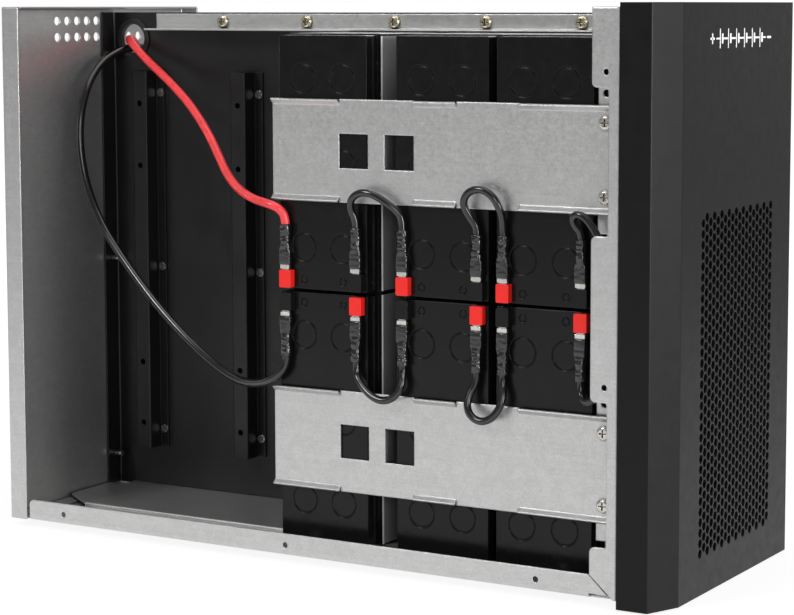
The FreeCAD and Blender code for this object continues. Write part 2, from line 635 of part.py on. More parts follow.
def make_partition():
    body = new_body("partition")
    outline = [("gauge", "partition_y - partition_flange"), ("2 * gauge", "partition_y - partition_flange"),
               ("2 * gauge", "partition_y"), ("partition_x1 - gauge", "partition_y"),
               ("partition_x1 - gauge", "partition_y - partition_flange"),
               ("partition_x1", "partition_y - partition_flange"),
               ("partition_x1", "partition_back"), ("gauge", "partition_back")]
    pad(body, "partition_sheet", "XY_Plane", "3 * gauge", "partition_top - 3 * gauge", [outline])
    gauge = value("gauge")
    back = value("partition_back")
    face = value("partition_y")
    x1 = value("partition_x1")
    round_edges(body, "partition_bend_inner", "z", [(2 * gauge, face), (x1 - gauge, face)], "bend")
    round_edges(body, "partition_bend_outer", "z", [(gauge, back), (x1, back)], "bend + gauge")
    foot_x = ("bottom_flange + 2 * gauge", "chassis_length - bottom_flange - 2 * gauge")
    pad(body, "partition_foot", "XY_Plane", "gauge", "gauge",
        [rectangle(foot_x[0], "partition_y", foot_x[1], "partition_back + partition_flange")])
    pad(body, "partition_skirt", "XY_Plane", "gauge", "3 * gauge",
        [rectangle(foot_x[0], "partition_y", foot_x[1], "partition_back")])
    holes = [("grommet_x", "grommet_z", "grommet_hole")]
    holes += [(x, z, "screw_hole") for x, z in rail_spots() + strap_foot_spots() + fuse_spots()]
    holes += [(x, z, "rivet_hole") for x, z in rib_rivet_spots()]
    pocket(body, "partition_holes", "XZ_Plane", "partition_y - gauge", "3 * gauge", circles=holes)
    for side, start in (("rear", "gauge / 2"), ("front", "partition_x1 - 1.5 * gauge")):
        screws = [("partition_screw_y", z, "screw_hole") for z in PARTITION_SCREWS]
        pocket(body, "partition_%s_holes" % side, "YZ_Plane", start, "2 * gauge", circles=screws)
    seat(body, "partition")


def make_rib(number, start):
    name = "partition_rib_%d" % number
    body = new_body(name)
    near = "partition_y - rib_height"
    end = "%s + rib_width" % start
    outline = [("%s - rib_foot" % start, "partition_y"), ("%s - rib_foot" % start, "partition_y - gauge"),
               (start, "partition_y - gauge"), (start, near), (end, near), (end, "partition_y - gauge"),
               ("%s + rib_foot" % end, "partition_y - gauge"), ("%s + rib_foot" % end, "partition_y"),
               ("%s - gauge" % end, "partition_y"), ("%s - gauge" % end, near + " + gauge"),
               ("%s + gauge" % start, near + " + gauge"), ("%s + gauge" % start, "partition_y")]
    pad(body, name + "_hat", "XY_Plane", "rib_z0", "rib_z1 - rib_z0", [outline])
    x0 = value("rib_rear") + (number - 1) * value("rib_step")
    crown = value("partition_y") - value("rib_height")
    round_edges(body, name + "_crown", "z", [(x0, crown), (x0 + value("rib_width"), crown)], "bend")
    middle = "%s + rib_width / 2" % start
    holes = [(middle, z, "rib_hole") for level in STRAP_LEVELS for z in screw_pair(level)]
    pocket(body, name + "_holes", "XZ_Plane", near + " - gauge", "3 * gauge", circles=holes)
    rivets = [spot + ("rivet_hole",) for spot in rib_rivet_spots() if spot[0].startswith(start + " ")]
    pocket(body, name + "_rivets", "XZ_Plane", "partition_y - 2 * gauge", "3 * gauge", circles=rivets)
    seat(body, name)


def make_top_rail():
    body = new_body("top_rail")
    outline = [("partition_y - rail_leg", "rail_bottom"), ("partition_y", "rail_bottom"),
               ("partition_y", "rail_top"), ("partition_y - gauge", "rail_top"),
               ("partition_y - gauge", "rail_bottom + gauge"),
               ("partition_y - rail_leg", "rail_bottom + gauge")]
    pad(body, "rail_angle", "YZ_Plane", "rail_start", "rail_end - rail_start", [outline])
    face = value("partition_y")
    bottom = value("rail_bottom")
    gauge = value("gauge")
    round_edges(body, "rail_bend_inner", "x", [(face - gauge, bottom + gauge)], "bend / 2")
    round_edges(body, "rail_bend_outer", "x", [(face, bottom)], "bend")
    pocket(body, "rail_holes", "XZ_Plane", "partition_y - 2 * gauge", "3 * gauge",
           circles=[(x, z, "screw_hole") for x, z in rail_spots()])
    seat(body, "top_rail")


def make_tray():
    body = new_body("battery_tray")
    x0 = "2 * gauge + tray_clearance"
    x1 = "column_end"
    y1 = "partition_y - tray_clearance"
    outline = [("%s + tray_corner" % x0, "tray_near"), (x1, "tray_near"), (x1, y1),
               ("partition_flange + gauge", y1), ("partition_flange + gauge", y1 + " - partition_flange"),
               (x0, y1 + " - partition_flange"), (x0, "tray_near + tray_corner_depth")]
    pad(body, "tray_plate", "XY_Plane", "tray_top - gauge", "gauge", [outline])
    hem_x0 = "%s + tray_corner" % x0
    for side, start in (("near", "tray_near"), ("far", y1 + " - gauge")):
        pad(body, "tray_hem_" + side, "XZ_Plane", start, "gauge",
            [rectangle(hem_x0, "gauge", x1, "tray_top")])
    round_edges(body, "tray_edge", "x", [(value("tray_near"), value("tray_top"))], "bend * 0.9")
    seat(body, "battery_tray")


# Batteries

BATTERIES = [("battery_%s_%s" % (column, row), "column_" + column, row)
             for row in ("upper", "lower") for column in "abc"]


def vent_spots():
    """Middles of the cell vents on a lid."""
    return [("battery_width / 2 + %d * vent_spread" % side, "battery_length / 2 + %d * vent_step" % step)
            for side in BOTH_SIDES for step in VENT_ROWS]


def mark_spots():
    """Middles of the small rings beside the two terminals."""
    beside = "lid_inset_side + terminal_margin + terminal_width + mark_gap"
    height = "lid_inset_end + terminal_end_margin + terminal_rise / 2"
    return [(beside, height), ("battery_width - (%s)" % beside, height)]


def make_battery(label, column, row):
    """A block with its lid to the near side; the lower row stands upside down."""
    body = new_body(label)
    pad(body, label + "_case", "XZ_Plane", "lid_depth", "battery_depth - lid_depth",
        [rectangle("0", "0", "battery_width", "battery_length")])
    wide = value("battery_width")
    tall = value("battery_length")
    edges = [(0, 0), (wide, 0), (0, tall), (wide, tall)]
    round_edges(body, label + "_case_edges", "y", edges, "lid_inset_end")
    pad(body, label + "_lid", "XZ_Plane", "0", "lid_depth",
        [rectangle("lid_inset_side", "lid_inset_end", "battery_width - lid_inset_side",
                   "battery_length - lid_inset_end")])
    side = value("lid_inset_side")
    end = value("lid_inset_end")
    lid_edges = [(x, z) for x in (side, wide - side) for z in (end, tall - end)]
    round_edges(body, label + "_lid_edges", "y", lid_edges, "lid_inset_end")
    rings = [(x, z, radius) for x, z in vent_spots()
             for radius in ("vent_ring_radius", "vent_ring_radius - vent_ring_width")]
    rings += [(x, z, radius) for x, z in mark_spots()
              for radius in ("mark_radius", "mark_radius - mark_width")]
    pocket(body, label + "_rings", "XZ_Plane", "0", "vent_ring_depth", circles=rings)
    body.Label = label
    turned = row == "lower"
    body.Placement = placed(0, 0, 0, (0, 1, 0), 180 * turned)
    across = column + (" + battery_width" if turned else "")
    bind(body, "Placement.Base.x", "frame_x + " + across)
    bind(body, "Placement.Base.y", "frame_y + face_setback")
    bind(body, "Placement.Base.z", "frame_z + stack_middle")
    SUBPARTS.append(body)


def terminal_places(polarity):
    """Where the middle of each terminal base meets its lid, blade pointing to the battery's middle."""
    places = []
    inset = value("lid_inset_side") + value("terminal_margin") + value("terminal_width") / 2
    rise = value("lid_inset_end") + value("terminal_end_margin")
    for label, column, row in BATTERIES:
        left = (polarity == "positive") == (row == "upper")
        x = value(column) + (inset if left else value("battery_width") - inset)
        flip = 180 if row == "lower" else 0
        z = value("stack_middle") + (rise if row == "upper" else -rise)
        places.append(placed(x, value("face_setback"), z, (0, 1, 0), flip))
    return places


def make_terminals():
    half = "terminal_width / 2"
    base = block("terminal_block", ("0 - " + half, "0 - terminal_proud", "0"), (half, "0", "terminal_rise"))
    rounded = doc.addObject("Part::Fillet", "terminal_base")
    rounded.Base = base
    doc.recompute()
    outer = [i for i, edge in enumerate(base.Shape.Edges, start=1)
             if abs(edge.Vertexes[0].Point.y - edge.Vertexes[-1].Point.y) > 0.1]
    edge_radius = value("terminal_edge")
    rounded.Edges = [(i, edge_radius, edge_radius) for i in outer]
    copies("terminal_bases_positive", rounded, terminal_places("positive"))
    copies("terminal_bases_negative", rounded, terminal_places("negative"))
    both = terminal_places("positive") + terminal_places("negative")
    blade = block("terminal_blade",
                  ("0 - tab_width / 2", "0 - tab_height - tab_thickness / 2", "terminal_rise"),
                  ("tab_width / 2", "0 - tab_height + tab_thickness / 2", "terminal_rise + tab_length"))
    copies("terminal_blades", blade, both)
    clip = block("clip_block", ("0 - clip_width / 2", "0 - tab_height - clip_thickness / 2", "clip_start"),
                 ("clip_width / 2", "0 - tab_height + clip_thickness / 2", "clip_start + clip_length"))
    wide = "(tab_width / 2 + clip_play)"
    thick = "(tab_thickness / 2 + clip_play)"
    slot = block("clip_slot", ("0 - " + wide, "0 - tab_height - " + thick, "clip_start - clip_gap"),
                 (wide, "0 - tab_height + " + thick, "terminal_rise + tab_length + clip_play"))
    copies("terminal_receptacles", cut_away("clip", clip, [slot]), both)
    wide = "(clip_width / 2 + clip_play + sleeve_wall)"
    thick = "(clip_thickness / 2 + clip_play + sleeve_wall)"
    flat = block("sleeve_flat_block", ("0 - " + wide, "0 - tab_height - " + thick, "sleeve_start"),
                 (wide, "0 - tab_height + " + thick, "sleeve_start + sleeve_flat"))
    soft = doc.addObject("Part::Fillet", "sleeve_soft")
    soft.Base = flat
    doc.recompute()
    long_edges = [i for i, edge in enumerate(flat.Shape.Edges, start=1)
                  if abs(edge.Vertexes[0].Point.z - edge.Vertexes[-1].Point.z) > 1]
    soft_radius = value("sleeve_edge")
    soft.Edges = [(i, soft_radius, soft_radius) for i in long_edges]
    neck = rod("sleeve_neck_rod", ("0", "0 - tab_height", "sleeve_start + sleeve_flat / 2"),
               "sleeve_neck_radius", "sleeve_flat / 2 + sleeve_neck", "z")
    wide = "(clip_width / 2 + clip_play)"
    thick = "(clip_thickness / 2 + clip_play)"
    hollow = block("sleeve_hollow", ("0 - " + wide, "0 - tab_height - " + thick, "sleeve_start - clip_shown"),
                   (wide, "0 - tab_height + " + thick, "clip_start + clip_length"))
    copies("terminal_sleeves", cut_away("sleeve", fuse("sleeve_outer", [soft, neck]), [hollow]), both)


# Straps and their brackets

def make_strap(label, level):
    body = new_body(label)
    low = level + " - strap_height / 2"
    high = level + " + strap_height / 2"
    pad(body, label + "_plate", "XZ_Plane", "strap_face", "gauge",
        [rectangle("strap_x0", low + " + strap_lip", "strap_x1", high + " - strap_lip")])
    for count, (start, end) in enumerate(PLAIN_EDGES, start=1):
        edges = [rectangle(start, low, end, low + " + 2 * strap_lip"),
                 rectangle(start, high + " - 2 * strap_lip", end, high)]
        pad(body, "%s_edge_%d" % (label, count), "XZ_Plane", "strap_face", "gauge", edges)
    for count, (start, end) in enumerate(BENT_EDGES, start=1):
        for side, tip, inward in (("top", high, "-"), ("bottom", low, "+")):
            root = "%s %s strap_lip" % (tip, inward)
            outline = [("strap_back", "%s %s gauge" % (root, inward)), ("strap_back", root),
                       ("strap_back - strap_lip", tip),
                       ("strap_back - strap_lip - gauge * 0.7", "%s %s gauge * 0.7" % (tip, inward)),
                       ("strap_face", "%s %s gauge * 0.4" % (root, inward)),
                       ("strap_face", "%s %s gauge" % (root, inward))]
            name = "%s_lip_%s_%d" % (label, side, count)
            pad(body, name, "YZ_Plane", start, "%s - %s" % (end, start), [outline])
    inner = (low + " + strap_lip + gauge", high + " - strap_lip - gauge")
    pad(body, label + "_leg", "YZ_Plane", "strap_x0", "gauge",
        [rectangle("strap_face", inner[0], "partition_y", inner[1])])
    pad(body, label + "_foot", "XZ_Plane", "partition_y - gauge", "gauge",
        [rectangle("strap_x0 - strap_foot", inner[0], "strap_x0 + gauge", inner[1])])
    sill = level + " - strap_window_height / 2"
    head = level + " + strap_window_height / 2"
    pocket(body, label + "_windows", "XZ_Plane", "strap_face - gauge", "3 * gauge",
           [rectangle(start, sill, end, head) for start, end in STRAP_WINDOWS])
    pad(body, label + "_tabs", "XZ_Plane", "strap_face", "strap_tab",
        [rectangle("window_one_end - gauge", sill, "window_one_end", head),
         rectangle("window_two_start", sill, "window_two_start + gauge", head)])
    pocket(body, label + "_screw_holes", "XZ_Plane", "strap_face - gauge", "3 * gauge",
           circles=[("strap_screw_x", z, "screw_hole") for z in screw_pair(level)])
    pocket(body, label + "_foot_holes", "XZ_Plane", "partition_y - 2 * gauge", "3 * gauge",
           circles=[("strap_foot_x", z, "screw_hole") for z in screw_pair(level)])
    seat(body, label)


def make_strap_bracket(label, level):
    """An angle on the inside of the front panel that takes the screws at a strap's front end."""
    body = new_body(label)
    wall = "chassis_length - gauge"
    outline = [("bracket_x", "strap_back"), (wall, "strap_back"), (wall, "strap_back + bracket_depth"),
               (wall + " - gauge", "strap_back + bracket_depth"), (wall + " - gauge", "strap_back + gauge"),
               ("bracket_x", "strap_back + gauge")]
    pad(body, label + "_angle", "XY_Plane", level + " - notch_height / 2 - bracket_lap",
        "notch_height + 2 * bracket_lap", [outline])
    corner = (value("chassis_length") - value("gauge"), value("strap_back"))
    round_edges(body, label + "_bend", "z", [corner], "bend")
    holes = [("strap_screw_x", z, "screw_hole") for z in screw_pair(level)]
    holes.append(("chassis_length - bracket_hole_inset",
                  level + " + notch_height / 2 + bracket_lap - bracket_hole_drop", "bracket_hole"))
    pocket(body, label + "_holes", "XZ_Plane", "strap_back - gauge", "3 * gauge", circles=holes)
    seat(body, label)


# Fasteners

def make_screw_master():
    """A pan-head screw along +Y, its head against the plane Y 0."""
    head = rod("screw_head", ("0", "0 - head_depth", "0"), "head_radius", "head_depth", "y")
    crowned = doc.addObject("Part::Fillet", "screw_crown")
    crowned.Base = head
    doc.recompute()
    rim = [i for i, edge in enumerate(head.Shape.Edges, start=1)
           if isinstance(edge.Curve, Part.Circle) and edge.CenterOfMass.y < -0.01]
    crown = value("head_crown")
    crowned.Edges = [(i, crown, crown) for i in rim]
    shank = rod("screw_shank", ("0", "0", "0"), "screw_radius", "screw_reach", "y")
    arm = ("recess_length / 2", "recess_width / 2")
    slots = [block("screw_slot_%d" % i, ("0 - " + a, "0 - head_depth - gauge", "0 - " + b),
                   (a, "recess_depth - head_depth", b)) for i, (a, b) in enumerate((arm, arm[::-1]))]
    return cut_away("screw", fuse("screw_blank", [crowned, shank]), slots)


def make_rivet_master():
    """A rivet along +Y through two sheets, its head against the plane Y 0."""
    head = rod("rivet_cap", ("0", "0 - rivet_crown", "0"), "rivet_head", "rivet_crown", "y")
    shank = rod("rivet_shank", ("0", "0", "0"), "rivet_radius", "2 * gauge", "y")
    tail = rod("rivet_tail", ("0", "2 * gauge", "0"), "rivet_tail", "rivet_crown", "y")
    return fuse("rivet", [head, shank, tail])


def number(text):
    """The value of a formula."""
    return float(layout.evalExpression(formula(text)))


def make_fasteners():
    screw = make_screw_master()
    rivet = make_rivet_master()
    face = value("partition_y") - value("gauge")
    copies("rail_screws", screw, [placed(number(x), face, number(z)) for x, z in rail_spots()])
    ends = [placed(value("strap_screw_x"), value("strap_face"), number(z))
            for level in STRAP_LEVELS for z in screw_pair(level)]
    feet = [placed(number(x), face, number(z)) for x, z in strap_foot_spots()]
    copies("strap_screws", screw, ends + feet)
    along_x = ((0, 0, 1), -90)
    rear = [placed(0, value("partition_screw_y"), number(z), *along_x) for z in PARTITION_SCREWS]
    copies("partition_screws", screw, rear)
    inside = value("chassis_length") - value("gauge")
    copies("bezel_screws", screw, [placed(inside, number(y), number(z), *along_x) for y, z in boss_spots()])
    copies("rib_rivets", rivet, [placed(number(x), face, number(z)) for x, z in rib_rivet_spots()])
    along_z = ((1, 0, 0), 90)
    floor = [placed(number(x), number(y), 0, *along_z) for x in RIVET_LINES for y in RIVET_ROWS]
    copies("base_rivets", rivet, floor)
    turned = ((0, 0, 1), 180)
    holder = [placed(number(x), value("fuse_face"), number(z), *turned) for x, z in fuse_spots()]
    copies("fuse_holder_screws", screw, holder)


# Bezel, feet and cable hole

def bezel_outline(wall, back):
    """Plan of the bezel, drawn in by a wall thickness, with its back at a given place."""
    near = "bezel_y0 + " + wall
    far = "bezel_y1 - " + wall
    front = "bezel_front - " + wall
    shoulder = "bezel_shoulder - %s * 0.6" % wall
    return [(back, near), (shoulder, near), (front, "bezel_crease_near + %s * 0.6" % wall),
            (front, "bezel_crease_far - %s * 0.6" % wall), (shoulder, far), (back, far)]


def make_bezel():
    body = new_body("bezel_shell")
    pad(body, "bezel_block", "XY_Plane", "bezel_z0", "bezel_z1 - bezel_z0",
        [bezel_outline("0", "chassis_length")])
    corners = (("bezel_shoulder", "bezel_y0"), ("bezel_shoulder", "bezel_y1"),
               ("bezel_front", "bezel_crease_near"), ("bezel_front", "bezel_crease_far"))
    round_edges(body, "bezel_edges", "z", [(value(x), value(y)) for x, y in corners], "bezel_edge")
    pocket(body, "bezel_inside", "XY_Plane", "bezel_z0 + bezel_wall", "bezel_z1 - bezel_z0 - 2 * bezel_wall",
           [bezel_outline("bezel_wall", "chassis_length - bezel_wall")])
    bosses = [(y, z, "boss_radius") for y, z in boss_spots()]
    pad(body, "bezel_bosses", "YZ_Plane", "chassis_length", "bezel_side", circles=bosses)
    webs = [rectangle("bezel_y0 + bezel_wall / 2" if y == "boss_inset_y" else y, z + " - bezel_wall / 2",
                      y if y == "boss_inset_y" else "bezel_y1 - bezel_wall / 2", z + " + bezel_wall / 2")
            for y, z in boss_spots()]
    pad(body, "bezel_webs", "YZ_Plane", "chassis_length + gauge", "bezel_side - 2 * gauge", webs)
    pilots = [(y, z, "screw_radius") for y, z in boss_spots()]
    pocket(body, "bezel_pilots", "YZ_Plane", "chassis_length - gauge", "screw_reach + gauge", circles=pilots)
    field = ("grille_y0", "grille_bottom", "grille_y0 + grille_width", "grille_bottom + grille_height")
    pocket(body, "bezel_field", "YZ_Plane", "bezel_inner - gauge", "bezel_wall + 3 * gauge",
           [rectangle(*field)])
    grille = doc.addObject("Part::Feature", "bezel_grille")
    doc.recompute()
    grille.Shape = grille_plate(*[number(text) for text in field])
    whole = fuse("bezel_whole", [body, grille])
    whole.Refine = False
    seat(whole, "bezel")


def grille_plate(y0, z0, y1, z1):
    """A plate with staggered columns of hexagonal holes, as thick as the bezel's wall."""
    x = value("bezel_inner")
    pitch = value("hex_pitch")
    reach = value("hex_across") / math.sqrt(3)
    column_step = pitch * math.sqrt(3) / 2
    columns = int((y1 - y0 - 2 * reach) / column_step)
    margin = (y1 - y0 - (columns - 1) * column_step) / 2
    rows = int((z1 - z0 - pitch) / pitch)
    rise = (z1 - z0 - (rows - 0.5) * pitch) / 2
    outline = Part.makePolygon([FreeCAD.Vector(x, y, z) for y, z in
                                ((y0, z0), (y1, z0), (y1, z1), (y0, z1), (y0, z0))])
    angles = [-k * math.tau / 6 for k in range(7)]
    hexagon = [FreeCAD.Vector(0, reach * math.cos(angle), reach * math.sin(angle)) for angle in angles]
    holes = []
    for i in range(columns):
        for j in range(rows):
            middle = FreeCAD.Vector(x, y0 + margin + i * column_step, z0 + rise + (j + 0.5 * (i % 2)) * pitch)
            holes.append(Part.makePolygon([middle + corner for corner in hexagon]))
    face = Part.Face(outline)
    face.cutHoles(holes)
    return face.extrude(FreeCAD.Vector(value("bezel_wall"), 0, 0))


def make_feet():
    spots = [(x, y) for x in ("foot_inset", "chassis_length - foot_inset")
             for y in ("foot_inset", "chassis_width - foot_inset")]
    for index, (x, y) in enumerate(spots, start=1):
        cone = doc.addObject("Part::Cone", "foot_cone_%d" % index)
        bind(cone, "Radius1", "foot_tip")
        bind(cone, "Radius2", "foot_radius")
        bind(cone, "Height", "foot_height")
        spot = (x, y, "0 - foot_height")
        dimple = rod("foot_dimple_%d" % index, spot, "foot_dimple", "foot_dimple_depth", "z")
        for axis, place in zip("xyz", spot):
            bind(cone, "Placement.Base." + axis, place)
        seat(cut_away("foot_cut_%d" % index, cone, [dimple]), "foot_%d" % index)


def make_grommet():
    body = new_body("cable_grommet")
    spot = ("grommet_x", "grommet_z")
    rim = ("grommet_hole + grommet_rim",)
    pad(body, "grommet_neck", "XZ_Plane", "partition_y - grommet_rim_depth", "gauge + 2 * grommet_rim_depth",
        circles=[spot + ("grommet_hole",)])
    pad(body, "grommet_rim_near", "XZ_Plane", "partition_y - grommet_rim_depth", "grommet_rim_depth",
        circles=[spot + rim])
    pad(body, "grommet_rim_far", "XZ_Plane", "partition_back", "grommet_rim_depth", circles=[spot + rim])
    pocket(body, "grommet_opening", "XZ_Plane", "partition_y - 2 * grommet_rim_depth",
           "gauge + 4 * grommet_rim_depth", circles=[spot + ("grommet_bore",)])
    seat(body, "cable_grommet")


# Outlet and fuse in the wiring bay

def make_outlet():
    body = new_body("dc_outlet")
    y1, z1 = "socket_y0 + socket_width", "socket_z0 + socket_height"
    pad(body, "outlet_flange", "YZ_Plane", "0 - socket_flange", "socket_flange",
        [rectangle("socket_y0 - socket_rim", "socket_z0 - socket_rim",
                   y1 + " + socket_rim", z1 + " + socket_rim")])
    pad(body, "outlet_body", "YZ_Plane", "0", "socket_reach", [rectangle("socket_y0", "socket_z0", y1, z1)])
    pocket(body, "outlet_mouth", "YZ_Plane", "0 - socket_flange", "socket_hollow",
           [rectangle("socket_y0 + socket_wall", "socket_z0 + socket_wall", y1 + " - socket_wall",
                      z1 + " - socket_wall")])
    seat(body, "dc_outlet")
    depth = "socket_hollow - socket_flange"
    blades = []
    for side in BOTH_SIDES:
        middle = "socket_middle + %d * contact_spread" % side
        low = (depth + " - contact_length", middle + " - contact_width / 2", "socket_z - contact_height / 2")
        high = (depth, middle + " + contact_width / 2", "socket_z + contact_height / 2")
        blades.append(block("contact_%d" % (side + 2), low, high))
    pair = doc.addObject("Part::Compound", "outlet_contact_pair")
    pair.Links = blades
    seat(pair, "outlet_contacts")


def make_fuse():
    body = new_body("fuse_holder")
    x1 = "fuse_x + fuse_width"
    z1 = "fuse_bottom + fuse_length"
    pad(body, "fuse_base", "XZ_Plane", "partition_back", "fuse_depth",
        [rectangle("fuse_x", "fuse_bottom", x1, z1)])
    posts = [rectangle("fuse_x", "fuse_bottom", x1, "fuse_bottom + fuse_post"),
             rectangle("fuse_x", z1 + " - fuse_post", x1, z1)]
    pad(body, "fuse_posts", "XZ_Plane", "fuse_face", "fuse_axis + fuse_radius + fuse_wrap - fuse_face", posts)
    middle = "fuse_x + fuse_width / 2"
    seat_z = "fuse_bottom + fuse_post / 2"
    pocket(body, "fuse_seat", "XY_Plane", seat_z, "fuse_length - fuse_post",
           circles=[(middle, "fuse_axis", "fuse_radius")])
    pocket(body, "fuse_holes", "XZ_Plane", "partition_back - gauge", "fuse_depth + 2 * gauge",
           circles=[(x, z, "screw_hole") for x, z in fuse_spots()])
    seat(body, "fuse_holder")
    barrel = rod("fuse_barrel", (middle, "fuse_axis", seat_z), "fuse_radius", "fuse_length - fuse_post", "z")
    whole = doc.addObject("Part::Compound", "fuse_whole")
    whole.Links = [barrel]
    seat(whole, "fuse")


# Leads: each route is a list of points in case coordinates, and its bends are as wide as its runs allow

ROUTES = {
    "pack_lead_positive": [
        (201.8, 14.1, 195.1), (201.8, 14.1, 199.4), (199.0, 11.6, 204.4), (192.1, 10.6, 206.8),
        (178.1, 15.5, 208.6), (159.6, 27.0, 212.8), (142.6, 39.0, 221.0), (128.6, 50.0, 232.0),
        (115.6, 59.0, 243.0), (101.6, 67.0, 254.0), (84.6, 76.0, 265.0), (63.6, 85.0, 277.0),
        (43.6, 93.0, 287.0), (29.5, 98.8, 295.6), (20.4, 104.0, 300.2), (15.6, 110.8, 301.6),
        (14.2, 117.8, 299.6), (13.8, 123.0, 293.0), (14.8, 125.6, 284.6), (19.0, 126.4, 277.0),
        (26.4, 126.6, 272.6), (31.65, 126.5, 267.0), (31.65, 126.5, 260.0)],
    "pack_lead_negative": [
        (201.8, 14.1, 116.5), (201.8, 14.1, 112.0), (198.6, 12.0, 106.0), (191.1, 12.6, 101.0),
        (179.1, 17.0, 97.6), (164.6, 23.0, 96.5), (149.6, 29.0, 99.0), (133.6, 34.0, 105.0),
        (115.6, 38.5, 114.5), (97.6, 42.5, 126.0), (80.1, 46.0, 139.0), (64.1, 49.0, 153.0),
        (48.6, 51.5, 168.0), (34.6, 53.5, 184.0), (24.1, 54.5, 203.0), (18.1, 55.5, 222.0),
        (15.6, 56.5, 239.0), (15.1, 59.0, 255.0), (14.8, 65.0, 269.0), (14.0, 74.5, 280.0),
        (13.2, 85.0, 287.0), (13.4, 95.5, 291.4), (15.6, 105.0, 294.5), (19.6, 114.0, 295.9),
        (22.2, 124.0, 294.0), (23.0, 134.5, 289.0), (25.0, 144.5, 281.5), (29.5, 152.5, 271.0),
        (34.6, 157.5, 258.0), (40.6, 161.5, 240.0), (44.1, 162.0, 218.0), (46.1, 160.0, 197.0),
        (49.1, 157.5, 177.0), (51.1, 158.0, 161.0), (45.5, 160.5, 148.5), (37.5, 161.35, 142.0),
        (30.0, 161.35, 142.0)],
    "fuse_lead": [
        (31.65, 126.5, 190.0), (31.65, 126.5, 183.0), (35.5, 128.5, 174.0), (42.0, 132.0, 166.5),
        (48.0, 136.5, 158.0), (48.5, 140.3, 148.5), (40.5, 141.35, 142.0), (30.0, 141.35, 142.0)],
    "jumper_a_b_upper": [
        (250.4, 14.1, 195.1), (250.4, 14.1, 199.4), (248.4, 11.6, 205.6), (250.2, 9.4, 212.2),
        (257.1, 8.6, 216.4), (265.8, 8.8, 215.4), (274.2, 10.4, 210.2), (280.2, 13.0, 205.0),
        (281.8, 14.1, 199.8), (281.8, 14.1, 195.1)],
    "jumper_b_c_upper": [
        (330.4, 14.1, 195.1), (330.4, 14.1, 199.4), (326.4, 11.6, 205.4), (324.0, 9.2, 212.6),
        (327.8, 8.2, 219.2), (335.9, 7.8, 221.6), (343.6, 8.2, 217.8), (347.0, 9.6, 211.4),
        (347.6, 12.4, 205.2), (347.1, 14.1, 199.6), (347.1, 14.1, 195.1)],
    "jumper_c_c": [
        (395.7, 14.1, 195.1), (395.7, 14.1, 198.8), (392.8, 12.0, 202.6), (392.2, 9.6, 207.2),
        (396.2, 8.4, 210.0), (401.4, 8.1, 207.6), (405.6, 7.8, 203.0), (409.4, 7.5, 197.2),
        (412.2, 7.4, 189.0), (413.8, 7.3, 180.0), (414.6, 7.2, 165.0), (414.6, 7.2, 147.0),
        (413.8, 7.3, 131.0), (412.0, 7.6, 119.0), (408.8, 8.0, 110.4), (403.8, 9.0, 106.4),
        (398.4, 11.4, 106.6), (395.7, 14.1, 111.2), (395.7, 14.1, 116.5)],
    "jumper_b_c_lower": [
        (347.1, 14.1, 116.5), (347.1, 14.1, 111.8), (348.8, 11.8, 105.0), (347.4, 9.4, 97.4),
        (342.6, 8.4, 91.6), (335.8, 8.0, 89.6), (329.0, 8.4, 92.8), (326.4, 9.6, 99.6),
        (328.0, 12.2, 106.0), (330.4, 14.1, 111.6), (330.4, 14.1, 116.5)],
    "jumper_a_b_lower": [
        (281.8, 14.1, 116.5), (281.8, 14.1, 111.8), (282.6, 11.6, 105.0), (278.8, 9.4, 98.4),
        (271.8, 8.6, 95.8), (264.0, 8.8, 98.0), (257.4, 10.4, 102.6), (252.0, 13.0, 107.2),
        (250.4, 14.1, 111.8), (250.4, 14.1, 116.5)],
}
TANGENT_SHARE = 0.45
VOLUME_SLACK = 0.01


def cord_path(points):
    """Straight runs joined by tangent arcs; gives the edges and the arcs' radii."""
    spots = [FreeCAD.Vector(*point) for point in points]
    edges = []
    radii = []
    start = spots[0]
    for before, corner, after in zip(spots, spots[1:], spots[2:]):
        reach = TANGENT_SHARE * min((before - corner).Length, (after - corner).Length)
        back = (before - corner).normalize()
        ahead = (after - corner).normalize()
        turn = math.pi - back.getAngle(ahead)
        radius = reach / math.tan(turn / 2)
        middle = corner + (back + ahead).normalize() * (radius / math.cos(turn / 2))
        entry = corner + back * reach
        leave = corner + ahead * reach
        crown = middle + (corner - middle).normalize() * radius
        edges.append(Part.LineSegment(start, entry).toShape())
        edges.append(Part.Arc(entry, crown, leave).toShape())
        radii.append(radius)
        start = leave
    edges.append(Part.LineSegment(start, spots[-1]).toShape())
    return edges, radii


def make_leads():
    for label, points in ROUTES.items():
        thick = value("jumper_diameter" if label.startswith("jumper") else "lead_diameter")
        edges, radii = cord_path(points)
        wire = Part.Wire(edges)
        heading = FreeCAD.Vector(*points[1]) - FreeCAD.Vector(*points[0])
        ring = Part.Circle(FreeCAD.Vector(*points[0]), heading, thick / 2).toShape()
        tube = wire.makePipeShell([Part.Wire([ring])], True, False)
        ideal = math.pi * thick * thick / 4 * wire.Length
        if abs(tube.Volume / ideal - 1) > VOLUME_SLACK:
            raise RuntimeError("%s is not a plain tube: %.3f" % (label, tube.Volume / ideal))
        lead = doc.addObject("Part::Feature", label + "_tube")
        lead.Shape = tube
        seat(lead, label)
        print(label, "length %.1f" % wire.Length, "radii", " ".join("%.1f" % radius for radius in radii))


